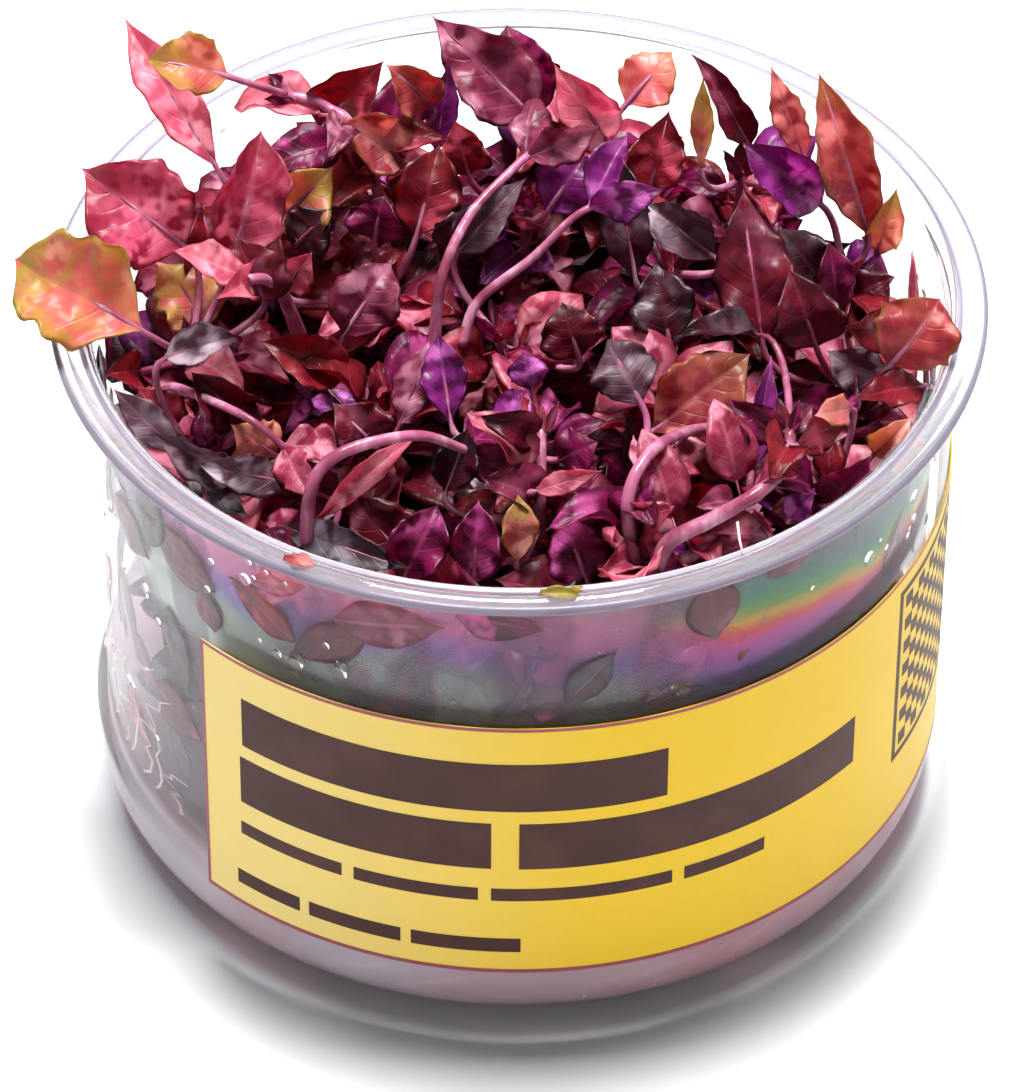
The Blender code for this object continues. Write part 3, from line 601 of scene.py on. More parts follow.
def round_the_axis(paint: Paint) -> tuple[object, object, object]:
    """Where a point stands about Z.

    Args:
        paint: the material.

    Returns:
        Its azimuth in radians, 0 at the viewer, its radius and its height in metres.
    """
    x, y, z = paint.split(paint.place())
    azimuth = paint.math("ARCTAN2", x, paint.times(y, -1.0))
    radius = paint.math("SQRT", paint.plus(paint.times(x, x), paint.times(y, y)))
    return azimuth, radius, z


# Where each part of the cup and its film starts and ends, in metres of height or radius
HAZE_TOP = (0.0632, 0.0600)
RIM_START = (0.0631, 0.0638)
RIM_OUTER_LINE = (0.0492, 0.0496)
RIM_INNER_LINE = ((0.0475, 0.0473), (0.0466, 0.0468))
EVEN_WALL = ((0.0092, 0.0115), (0.0622, 0.0606))
FILM_WALL = ((0.0626, 0.0600), (0.0145, 0.019))
BANDS_WALL = ((0.0405, 0.0435), (0.0632, 0.0608))


@dataclass(frozen=True)
class ClearFinish:
    """The cup's clear plastic, a little hazy on its wall, with a pale veil of painted light on its rim's
    flat and darker painted shade along the rim's two edges.

    Attributes:
        ior: refractive index.
        haze: colour of the faint haze on the wall.
        haze_share: how much of the haze there is.
        rim: pale tint of the flat rim, painted light.
        painted_edge_shade: darker tint of the rim's two edges, painted shade.
        gleam: tint of what the glass reflects.
        shade: colour of the light behind it.
        edge_shade_share: how much painted shade the rim's edges take, beyond its flat.
        flat_light_share: how much painted light its flat takes.
    """

    ior: float = 1.5
    haze: Colour = (0.36, 0.32, 0.38)
    haze_share: float = 0.03
    rim: Colour = (0.88, 0.86, 0.90)
    painted_edge_shade: Colour = (0.30, 0.27, 0.35)
    gleam: Colour = (0.4, 0.38, 0.44)
    shade: Colour = (0.93, 0.93, 0.95)
    edge_shade_share: float = 0.38
    flat_light_share: float = 0.08

    def coat(self) -> Skin:
        """Make the cup's material."""
        paint = Paint("clear_plastic")
        _, radius, z = round_the_axis(paint)
        wall = paint.times(paint.step(z, *HAZE_TOP), self.haze_share)
        flat = paint.step(z, *RIM_START)
        outer, inner = paint.step(radius, *RIM_OUTER_LINE), paint.band(radius, *RIM_INNER_LINE)
        line = paint.math("MAXIMUM", outer, inner)
        # The rim's pale veil is painted light, and its darker edge lines painted shade
        painted_lip = paint.mix(line, self.rim, self.painted_edge_shade)
        edges = paint.plus(paint.times(line, self.edge_shade_share), self.flat_light_share)
        thick = paint.plus(wall, paint.times(flat, edges), True)
        glass = paint.surface(paint.mix(flat, WHITE, painted_lip), 0.02, {
            "Transmission Weight": 1.0, "IOR": self.ior, "Specular Tint": self.gleam})
        veil = paint.surface(paint.mix(flat, self.haze, painted_lip), 0.7, {"Specular IOR Level": 0.2})
        plastic = paint.between(paint.band(z, *EVEN_WALL), glass, self.pane(paint))
        return paint.finish(paint.lit_through(paint.between(thick, plastic, veil), self.shade))

    def pane(self, paint: Paint) -> Socket:
        """The even part of the wall, which hardly bends light and gleams at its edges."""
        facing = paint.node("ShaderNodeLayerWeight", {"Blend": 0.5}).outputs["Facing"]
        gleam = paint.plus(paint.times(paint.math("POWER", facing, 4.0), 0.35), 0.006)
        clear = paint.node("ShaderNodeBsdfTransparent", {"Color": (0.985, 0.985, 0.99)})
        gloss = paint.node("ShaderNodeBsdfAnisotropic", {"Color": WHITE, "Roughness": 0.06})
        return paint.between(gleam, clear.outputs[0], gloss.outputs[0])


# How far the stress bands sink with each radian of azimuth towards the right, in metres
BAND_FALL = 0.0075
# The height at which the bands start, their height over all and how far they waver, in metres
BAND_FOOT = 0.0445
BAND_HEIGHT = 0.018
BAND_WAVER = 0.009
# Azimuths in radians between which the bands take their painted shade in front, and change from pale to
# strong
FRONT_SHADE_SPAN = (-0.9, 0.1)
STRONGER = (0.25, 0.55)
# Azimuths in radians between which the bands rise and fall at the right and at the left
BANDS_RIGHT = ((0.25, 0.62), (1.7, 1.3))
BANDS_LEFT = ((0.6, 0.2), (-1.35, -0.95))
# The cup's two sides, in radians to either hand of the viewer, where the film is painted lighter and
# thicker
SIDES = ((0.55, 1.1), (2.3, 1.7))
# The bands at the left and in the middle, and those at the right
PALE_STOPS = (
    (0.0, (0.80, 0.94, 0.82)), (0.14, (0.56, 0.68, 0.58)), (0.30, (0.46, 0.58, 0.48)),
    (0.42, (0.34, 0.28, 0.66)), (0.56, (0.48, 0.26, 0.60)), (0.68, (0.80, 0.25, 0.50)),
    (0.88, (0.76, 0.34, 0.46)), (1.0, (0.50, 0.38, 0.44)),
)
STRESS_STOPS = (
    (0.0, (0.34, 0.10, 0.34)), (0.12, (0.30, 0.12, 0.44)), (0.24, (0.12, 0.07, 0.52)),
    (0.36, (0.34, 0.05, 0.36)), (0.50, (0.50, 0.04, 0.30)), (0.60, (0.66, 0.04, 0.04)),
    (0.68, (0.56, 0.30, 0.02)), (0.78, (0.11, 0.30, 0.05)), (0.88, (0.07, 0.20, 0.15)),
    (1.0, (0.10, 0.13, 0.135)),
)


@dataclass(frozen=True)
class DampFinish:
    """The film of damp just inside the wall, lit by the coloured stress bands of the plastic before it.

    Attributes:
        front: its darker colour where the viewer looks in, painted shade.
        side: its lighter colour at the sides, painted light for what the film catches there at a slant.
        band_share: how much the bands cover.
        left_share: how strong they are at the left, against the right.
        front_shade: what the pale bands are multiplied by in front, painted shade.
        leaf_shade: the colour of dark blotches painted at random, for the shade of leaves lying close
            behind the film.
        leaf_shade_share: how much the painted shade covers.
    """

    front: Colour = (0.18, 0.11, 0.18)
    side: Colour = (0.62, 0.58, 0.63)
    band_share: float = 0.55
    left_share: float = 0.7
    front_shade: Colour = (0.56, 0.48, 0.53)
    leaf_shade: Colour = (0.13, 0.045, 0.11)
    leaf_shade_share: float = 0.6

    def bands(self, paint: Paint, azimuth: object, z: object) -> tuple[object, object]:
        """The stress bands under the rim.

        Args:
            paint: the material.
            azimuth: the azimuth in radians, 0 at the viewer.
            z: the height in metres.

        Returns:
            Their colour and their share.
        """
        fall = paint.times(paint.math("MAXIMUM", azimuth, 0.0), BAND_FALL)
        warp = paint.times(paint.minus(paint.noise(60.0, 2.0), 0.5), BAND_WAVER)
        level = paint.plus(paint.plus(z, warp), fall)
        place = paint.math("DIVIDE", paint.minus(level, BAND_FOOT), BAND_HEIGHT)
        # Painted shade on the pale bands in front
        depth = paint.mix(paint.step(azimuth, *FRONT_SHADE_SPAN), WHITE, self.front_shade)
        pale = paint.mix(1.0, paint.ramp(place, PALE_STOPS), depth, "MULTIPLY")
        # Dark blotches of painted shade, laid at random, for leaves lying close behind
        leaf_shade = paint.step(paint.noise(120.0, 2.0, (1.0, 1.0, 0.6)), 0.46, 0.54)
        pale = paint.mix(paint.times(leaf_shade, self.leaf_shade_share), pale, self.leaf_shade)
        hues = paint.mix(paint.step(azimuth, *STRONGER), pale, paint.ramp(place, STRESS_STOPS))
        left = paint.times(paint.band(azimuth, *BANDS_LEFT), self.left_share)
        share = paint.plus(paint.band(azimuth, *BANDS_RIGHT), left, True)
        return hues, paint.times(share, paint.band(z, *BANDS_WALL))

    def coat(self) -> Skin:
        """Make the film's material."""
        paint = Paint("damp")
        azimuth, _, z = round_the_axis(paint)
        # The film is painted lighter and thicker at the cup's sides, as the viewer sees them
        side = paint.band(paint.math("ABSOLUTE", azimuth), *SIDES)
        cloud = paint.step(paint.noise(70.0, 2.0, (1.0, 1.0, 0.45)), 0.38, 0.60)
        patches = paint.times(cloud, paint.plus(paint.times(side, 0.12), 0.06))
        damp = paint.plus(patches, paint.plus(paint.times(side, 0.07), 0.03))
        hues, share = self.bands(paint, azimuth, z)
        # Painted light at the sides, painted shade in front
        colour = paint.mix(side, self.front, self.side)
        colour = paint.mix(paint.math("MULTIPLY", share, 1.2, True), colour, hues)
        share = paint.times(share, self.band_share)
        thick = paint.plus(paint.times(damp, paint.band(z, *FILM_WALL)), share, True)
        film = paint.surface(colour, 0.7, {"Specular IOR Level": 0.2})
        clear = paint.node("ShaderNodeBsdfTransparent", {"Color": WHITE})
        body = paint.between(thick, clear.outputs[0], film)
        return paint.finish(paint.lit_through(body, WHITE))


@dataclass(frozen=True)
class GelFinish:
    """The set gel: cloudy, lilac-grey at the left and wine red at the right, the red a painted
    reflection, with light in it.
    """

    colour: Colour = (0.97, 0.88, 0.95)
    cloudy: Colour = (0.95, 0.66, 0.70)
    # The wine red of the right side, a painted reflection
    deep: Colour = (0.93, 0.41, 0.46)
    shade: Colour = (0.72, 0.52, 0.58)

    def coat(self) -> Skin:
        """Make the gel's material."""
        paint = Paint("set_gel")
        cloud = paint.noise(80.0, 3.0)
        across = paint.split(paint.place())[0]
        # Wine red towards the right: painted reflection
        side = paint.mix(paint.step(across, -0.02, 0.035), self.colour, self.deep)
        tint = paint.mix(paint.step(cloud, 0.4, 0.65), side, self.cloudy)
        normal = paint.bump(paint.noise(160.0, 2.0), 0.2, 0.0004)
        cloudy = {"Transmission Weight": 0.6, "IOR": 1.34, "Normal": normal}
        body = paint.surface(tint, 0.12, cloudy)
        return paint.finish(paint.lit_through(body, self.shade))


@dataclass(frozen=True)
class LabelFinish:
    """The label's yellow film, painted paler towards its left end where light washes it out, and its
    brown print.
    """

    deep: Colour = (0.80, 0.52, 0.014)
    # The paler colour of the left end, painted light
    pale: Colour = (0.80, 0.62, 0.20)
    warm: Colour = (0.85, 0.50, 0.02)
    ink: Colour = (0.050, 0.014, 0.010)
    worn_ink: Colour = (0.075, 0.024, 0.018)
    line: Colour = (0.20, 0.012, 0.03)
    worn_line: Colour = (0.34, 0.04, 0.06)

    def film(self) -> Skin:
        """Make the yellow film's material."""
        paint = Paint("label_film")
        along, _, _ = paint.split(paint.place("UV"))
        # Paler towards the left end: painted light
        painted_wash = paint.step(along, 0.05, 0.42)
        cloud = paint.noise(60.0, 2.0)
        colour = paint.mix(painted_wash, self.pale, self.deep)
        colour = paint.mix(paint.times(paint.step(cloud, 0.4, 0.7), 0.12), colour, self.warm)
        normal = paint.bump(paint.noise(900.0, 2.0), 0.08, 0.0001)
        satin = {"Specular IOR Level": 0.2, "Normal": normal}
        return paint.finish(paint.surface(colour, 0.42, satin))

    def print_(self) -> Skin:
        """Make the brown print's material."""
        paint = Paint("label_print")
        worn = paint.noise(120.0, 2.0)
        colour = paint.mix(paint.step(worn, 0.35, 0.75), self.ink, self.worn_ink)
        return paint.finish(paint.surface(colour, 0.5, {"Specular IOR Level": 0.2}))

    def rule(self) -> Skin:
        """Make the material of the thin lines along the label's edges."""
        paint = Paint("label_edge_line")
        colour = paint.mix(paint.noise(300.0, 2.0), self.line, self.worn_line)
        return paint.finish(paint.surface(colour, 0.4))


def put_in_scene(name: str, data: bpy.types.ID) -> bpy.types.Object:
    """Make an object and link it to the scene."""
    obj = bpy.data.objects.new(name, data)
    bpy.context.scene.collection.objects.link(obj)
    return obj


UV_NAME = "blade"
# The UV place of a piece that has none of its own
PLAIN_MARK = (0.3, 0.2)


@dataclass
class Shell:
    """The points, faces and finishes of one piece, gathered before its mesh is made."""

    points: list[Vector] = field(default_factory=list)
    faces: Faces = field(default_factory=list)
    marks: Outline = field(default_factory=list)
    slots: list[int] = field(default_factory=list)

    def add(self, points: list[Vector], faces: Faces, marks: Outline, slots: list[int]) -> None:
        """Add a body.

        Args:
            points: its points, in millimetres.
            faces: its faces, which count its own points from 0.
            marks: a UV place for each point.
            slots: a material slot for each face.
        """
        start = len(self.points)
        self.points += points
        self.faces += [tuple(start + corner for corner in face) for face in faces]
        self.marks += marks
        self.slots += slots

    def take(self, mesh: bpy.types.Mesh, slot: int) -> None:
        """Add a finished mesh in metres with one material, then remove it."""
        points = [v.co / MM for v in mesh.vertices]
        faces = [tuple(p.vertices) for p in mesh.polygons]
        marks = [PLAIN_MARK] * len(points)
        layer = mesh.attributes.get(UV_NAME)
        if layer is not None and layer.domain == "CORNER":
            for loop, value in zip(mesh.loops, layer.data):
                marks[loop.vertex_index] = tuple(value.vector)
        self.add(points, faces, marks, [slot] * len(faces))
        bpy.data.meshes.remove(mesh)

    def piece(self, name: str, finishes: Sequence[Skin]) -> bpy.types.Object:
        """Make the object.

        Args:
            name: the object's name.
            finishes: the material of each slot.

        Returns:
            The object, linked to the scene.
        """
        mesh = bpy.data.meshes.new(name)
        mesh.from_pydata([tuple(p * MM) for p in self.points], [], self.faces)
        mesh.polygons.foreach_set("material_index", self.slots)
        layer = mesh.uv_layers.new(name=UV_NAME)
        corners = [0] * len(mesh.loops)
        mesh.loops.foreach_get("vertex_index", corners)
        layer.data.foreach_set("uv", [n for corner in corners for n in self.marks[corner]])
        for finish in finishes:
            mesh.materials.append(finish)
        mesh.shade_smooth()
        return put_in_scene(name, mesh)


@dataclass
class Growth(Nodes):
    """A Geometry Nodes tree that is run on a mesh.

    Attributes:
        name: the tree's name.
    """

    name: str

    def __post_init__(self) -> None:
        """Start a tree with a geometry in and a geometry out."""
        self.tree = bpy.data.node_groups.new(self.name, "GeometryNodeTree")
        self.tree.interface.new_socket("Geometry", in_out="INPUT", socket_type="NodeSocketGeometry")
        sockets = self.tree.interface
        sockets.new_socket("Geometry", in_out="OUTPUT", socket_type="NodeSocketGeometry")
        self.start = self.tree.nodes.new("NodeGroupInput")
        self.stop = self.tree.nodes.new("NodeGroupOutput")

    def ask(self, name: str, kind: str, value: object = None) -> Socket:
        """Add a named input.

        Args:
            name: the input's name.
            kind: its socket type.
            value: its default, where it has one.

        Returns:
            The socket that gives it inside the tree.
        """
        item = self.tree.interface.new_socket(name, in_out="INPUT", socket_type=kind)
        if value is not None:
            item.default_value = value
        return next(s for s in self.start.outputs if s.identifier == item.identifier)

    def read(self, name: str, kind: str = "FLOAT") -> Socket:
        """A named attribute of the geometry."""
        made = self.node("GeometryNodeInputNamedAttribute", {"Name": name}, data_type=kind)
        return next(s for s in made.outputs if s.enabled and s.name == "Attribute")

    def close(self, shape: Socket, skin: Socket) -> None:
        """End the tree: shade smooth, set the material and realize instances."""
        smooth = self.node("GeometryNodeSetShadeSmooth", {"Geometry": shape})
        real = self.node("GeometryNodeRealizeInstances", {"Geometry": smooth.outputs[0]})
        dressed = self.node("GeometryNodeSetMaterial", {
            "Geometry": real.outputs[0], "Material": skin})
        self.tree.links.new(dressed.outputs[0], self.stop.inputs[0])

    def run(self, mesh: bpy.types.Mesh, values: dict[str, object]) -> bpy.types.Mesh:
        """Run the tree on a mesh.

        Args:
            mesh: the mesh to start from, which is removed.
            values: the value of each named input.

        Returns:
            The result, a plain mesh.
        """
        obj = put_in_scene(self.name, mesh)
        grown = obj.modifiers.new(self.name, "NODES")
        grown.node_group = self.tree
        for item in self.tree.interface.items_tree:
            if item.in_out == "INPUT" and item.name in values:
                grown[item.identifier] = values[item.name]
        ready = obj.evaluated_get(bpy.context.evaluated_depsgraph_get())
        result = bpy.data.meshes.new_from_object(ready)
        obj.modifiers.remove(grown)
        bpy.data.objects.remove(obj, do_unlink=True)
        bpy.data.meshes.remove(mesh)
        return result


# Points this close on the axis of a turned shell become one, in metres
POLE_GAP = 1e-6


class Trees:
    """The Geometry Nodes trees that the pieces share."""

    def __init__(self) -> None:
        """Build each tree once."""
        self.swept = self.make_swept()
        self.turned = self.make_turned()
        self.beads = self.make_beads()
        self.leafed = self.make_leafed()

    @staticmethod
    def make_swept() -> Growth:
        """A round tube along every edge chain, as thick as the chain's "thick" attribute."""
        tree = Growth("swept_thread")
        sides = tree.ask("Sides", "NodeSocketInt", 8)
        skin = tree.ask("Skin", "NodeSocketMaterial")
        chain = tree.node("GeometryNodeMeshToCurve", {0: tree.start.outputs[0]})
        ring = tree.node("GeometryNodeCurvePrimitiveCircle", {"Resolution": sides, "Radius": 1.0})
        tube = tree.node("GeometryNodeCurveToMesh", {
            "Curve": chain.outputs[0], "Profile Curve": ring.outputs[0], "Scale": tree.read("thick"),
            "Fill Caps": True})
        tree.close(tube.outputs[0], skin)
        return tree

    @staticmethod
    def make_turned() -> Growth:
        """A shell turned about Z, whose outline runs round a ring of radius "Ring"."""
        tree = Growth("turned_shell")
        segments = tree.ask("Segments", "NodeSocketInt", 256)
        radius = tree.ask("Ring", "NodeSocketFloat", 0.03)
        skin = tree.ask("Skin", "NodeSocketMaterial")
        outline = tree.node("GeometryNodeMeshToCurve", {0: tree.start.outputs[0]})
        ring = tree.node("GeometryNodeCurvePrimitiveCircle", {
            "Resolution": segments, "Radius": radius})
        wall = tree.node("GeometryNodeCurveToMesh", {
            "Curve": ring.outputs[0], "Profile Curve": outline.outputs[0]})
        poles = tree.node("GeometryNodeMergeByDistance", {
            "Geometry": wall.outputs[0], "Distance": POLE_GAP})
        outward = tree.node("GeometryNodeFlipFaces", {"Mesh": poles.outputs[0]})
        tree.close(outward.outputs[0], skin)
        return tree

    @staticmethod
    def make_beads() -> Growth:
        """A flattened bead on every point, as large as its "size", along its "away" vector."""
        tree = Growth("beads")
        skin = tree.ask("Skin", "NodeSocketMaterial")
        ball = tree.node("GeometryNodeMeshIcoSphere", {"Radius": 1.0, "Subdivisions": 3})
        facing = tree.node("FunctionNodeAlignRotationToVector", {
            "Vector": tree.read("away", "FLOAT_VECTOR")}, axis="Z")
        spots = tree.node("GeometryNodeInstanceOnPoints", {
            "Points": tree.start.outputs[0], "Instance": ball.outputs[0],
            "Rotation": facing.outputs[0],
            "Scale": tree.read("size", "FLOAT_VECTOR")})
        tree.close(spots.outputs[0], skin)
        return tree

    @staticmethod
    def make_leafed() -> Growth:
        """A small leaf on every point, along its "aim", faced by its "face", scaled by its "size"."""
        tree = Growth("small_leaves")
        pattern = tree.ask("Pattern", "NodeSocketObject")
        skin = tree.ask("Skin", "NodeSocketMaterial")
        leaf = tree.node("GeometryNodeObjectInfo", {"Object": pattern})
        aimed = tree.node("FunctionNodeAlignRotationToVector", {
            "Vector": tree.read("aim", "FLOAT_VECTOR")}, axis="X")
        faced = tree.node("FunctionNodeAlignRotationToVector", {
            "Rotation": aimed.outputs[0], "Vector": tree.read("face", "FLOAT_VECTOR")},
            axis="Z", pivot_axis="X")
        spots = tree.node("GeometryNodeInstanceOnPoints", {
            "Points": tree.start.outputs[0], "Instance": leaf.outputs["Geometry"],
            "Rotation": faced.outputs[0], "Scale": tree.read("size", "FLOAT_VECTOR")})
        tree.close(spots.outputs[0], skin)
        return tree


def spline(knots: Sequence[Vector], steps: Sequence[int]) -> list[Vector]:
    """A smooth curve through knots.

    Args:
        knots: the points that the curve passes through.
        steps: the number of points in each span.

    Returns:
        The curve's points, with the last knot.
    """
    ends = [knots[0] * 2 - knots[1]] + list(knots) + [knots[-1] * 2 - knots[-2]]
    line = []
    for count, before, start, stop, after in zip(steps, ends, ends[1:], ends[2:], ends[3:]):
        for k in range(count):
            t = k / count
            blend = (
                start * 2 + (stop - before) * t
                + (before * 2 - start * 5 + stop * 4 - after) * t ** 2
                + (start * 3 - before - stop * 3 + after) * t ** 3
            )
            line.append(blend * 0.5)
    return line + [knots[-1].copy()]


def route(points: Sequence[Point], step: float) -> list[Vector]:
    """A stem's line through its table points, with a point about every step."""
    knots = [Vector(p) for p in points]
    steps = [max(1, round((b - a).length / step)) for a, b in zip(knots, knots[1:])]
    return spline(knots, steps)


def coarse_tube(line: Sequence[Vector]) -> tuple[list[Vector], Faces]:
    """Points and faces of a stem as the frame's solid has it."""
    points, faces = [], []
    side = Vector((1, 0, 0))
    for k, here in enumerate(line):
        ahead = line[min(k + 1, len(line) - 1)] - line[max(k - 1, 0)]
        ahead.normalize()
        side = (side - ahead * side.dot(ahead)).normalized()
        across = ahead.cross(side)
        radius = STEM_RADIUS + (STEM_TIP_RADIUS - STEM_RADIUS) * k / (len(line) - 1)
        for corner in range(STEM_SIDES):
            turn = math.tau * corner / STEM_SIDES
            points.append(here + (side * math.cos(turn) + across * math.sin(turn)) * radius)
            if k == 0:
                points[-1].z = GEL_TOP + FIT_GAP
    for k in range(len(line) - 1):
        for corner in range(STEM_SIDES):
            a, b = k * STEM_SIDES + corner, k * STEM_SIDES + (corner + 1) % STEM_SIDES
            faces.append((a, b, b + STEM_SIDES, a + STEM_SIDES))
    faces.append(tuple(reversed(range(STEM_SIDES))))
    faces.append(tuple(range(len(points) - STEM_SIDES, len(points))))
    return points, faces


def face_normal(chord: Vector, turn: float) -> Vector:
    """The way a blade faces: towards the viewer, turned about its chord by degrees."""
    along = chord.normalized()
    facing = -SIGHT + along * SIGHT.dot(along)
    if facing.length < 0.05:
        facing = Vector((0, 0, 1)) - along * along.z
    facing.normalize()
    angle = math.radians(turn)
    return facing * math.cos(angle) + along.cross(facing) * math.sin(angle)


def blade_share(u: float) -> float:
    """Half width of a blade at u along it, as a share of its widest half."""
    return math.sin(math.pi * min(1.0, u) ** 0.82) ** 0.85 if 0.0 < u < 1.0 else 0.0


def pointed_share(u: float) -> float:
    """The same for a fine blade, which narrows more towards its stalk and its tip."""
    ends = max(0.0, (u - 0.55) / 0.45, (0.3 - u) / 0.45)
    return blade_share(u) ** (1.0 + 0.7 * ends)


def bend(one: Vector, two: Vector, three: Vector, t: float) -> Vector:
    """A point at t on the curve that leaves one towards two and arrives at three."""
    return one.lerp(two, t).lerp(two.lerp(three, t), t)


@dataclass(frozen=True)
class Place:
    """Where a leaf may stand, in millimetres, with its turn in degrees."""

    base: Vector
    tip: Vector
    width: float
    arch: float
    turn: float

    @property
    def small(self) -> bool:
        """Whether the solid of this leaf has the fewer stations."""
        return (self.tip - self.base).length < SMALL_LEAF

    @property
    def normal(self) -> Vector:
        """The way that the blade faces."""
        return face_normal(self.tip - self.base, self.turn)

    @property
    def middle(self) -> Vector:
        """The point that draws the blade up into its arch."""
        return (self.base + self.tip) * 0.5 + self.normal * self.arch

    def rest(self, foot: Vector) -> Vector:
        """The way that the stalk arrives at the blade, and how far before it starts to turn."""
        return (self.middle - self.base).normalized() * min(4.0, (self.base - foot).length * 0.5)

    def coarse(self, foot: Vector, seed: str) -> tuple[list[Vector], Faces]:
        """Points and faces of the leaf as the frame's solid has it.

        Args:
            foot: where its stalk starts.
            seed: the leaf's name, from which its ripples come.

        Returns:
            The points and the faces.
        """
        rest = self.rest(foot)
        line = []
        for t in (0.0,) if self.small else (0.0, 0.5):
            line.append((bend(foot, self.base - rest, self.base, t), STALK_RADIUS))
        for u in SMALL_STATIONS if self.small else LARGE_STATIONS:
            half = max(STALK_RADIUS * (1.2 - u), self.width / 2 * max(0.05, blade_share(u)))
            line.append((bend(self.base, self.middle, self.tip, u), half))
        waves = random.Random(seed)
        phase, beat = waves.uniform(0, 6), waves.uniform(7, 12)
        points: list[Vector] = []
        for k, (centre, half) in enumerate(line[:-1]):
            ahead = line[k + 1][0] - line[max(k - 1, 0)][0]
            ahead.normalize()
            up = (self.normal - ahead * self.normal.dot(ahead)).normalized()
            side = ahead.cross(up)
            ripple = [EDGE_LIFT + EDGE_WAVE * math.sin(phase + beat * k / 7 + s) for s in (0.0, 2.4)]
            lifts = [half * r if half > STALK_RADIUS * 1.3 else 0.0 for r in ripple]
            thick = LEAF_THICKNESS / 2 if half > STALK_RADIUS else half * 0.8
            points += [
                centre - side * half + up * lifts[0], centre + up * thick,
                centre + side * half + up * lifts[1], centre - up * thick,
            ]
        points.append(line[-1][0])
        faces: Faces = [(3, 2, 1), (3, 1, 0)]
        last = len(line) - 2
        for corner in range(4):
            after = (corner + 1) % 4
            for k in range(last):
                a, b = 4 * k + corner, 4 * k + after
                margin, middle = (b, a) if corner % 2 else (a, b)
                faces += [(a, b, middle + 4), (b + 4, a + 4, margin)]
            faces.append((4 * last + corner, 4 * last + after, len(points) - 1))
        return points, faces


@dataclass
class Leaf:
    """A leaf that has found its place."""

    name: str
    stem: str
    foot: Vector
    place: Place
    hue: Hue
    grade: Grade


@dataclass
class Thread:
    """A round thread: its points, and its radius at each, in millimetres."""

    points: list[Vector]
    radii: list[float]


def tree_of(points: Sequence[Vector], faces: Faces) -> BVHTree:
    """A search tree of a body's surface."""
    return BVHTree.FromPolygons(points, faces)


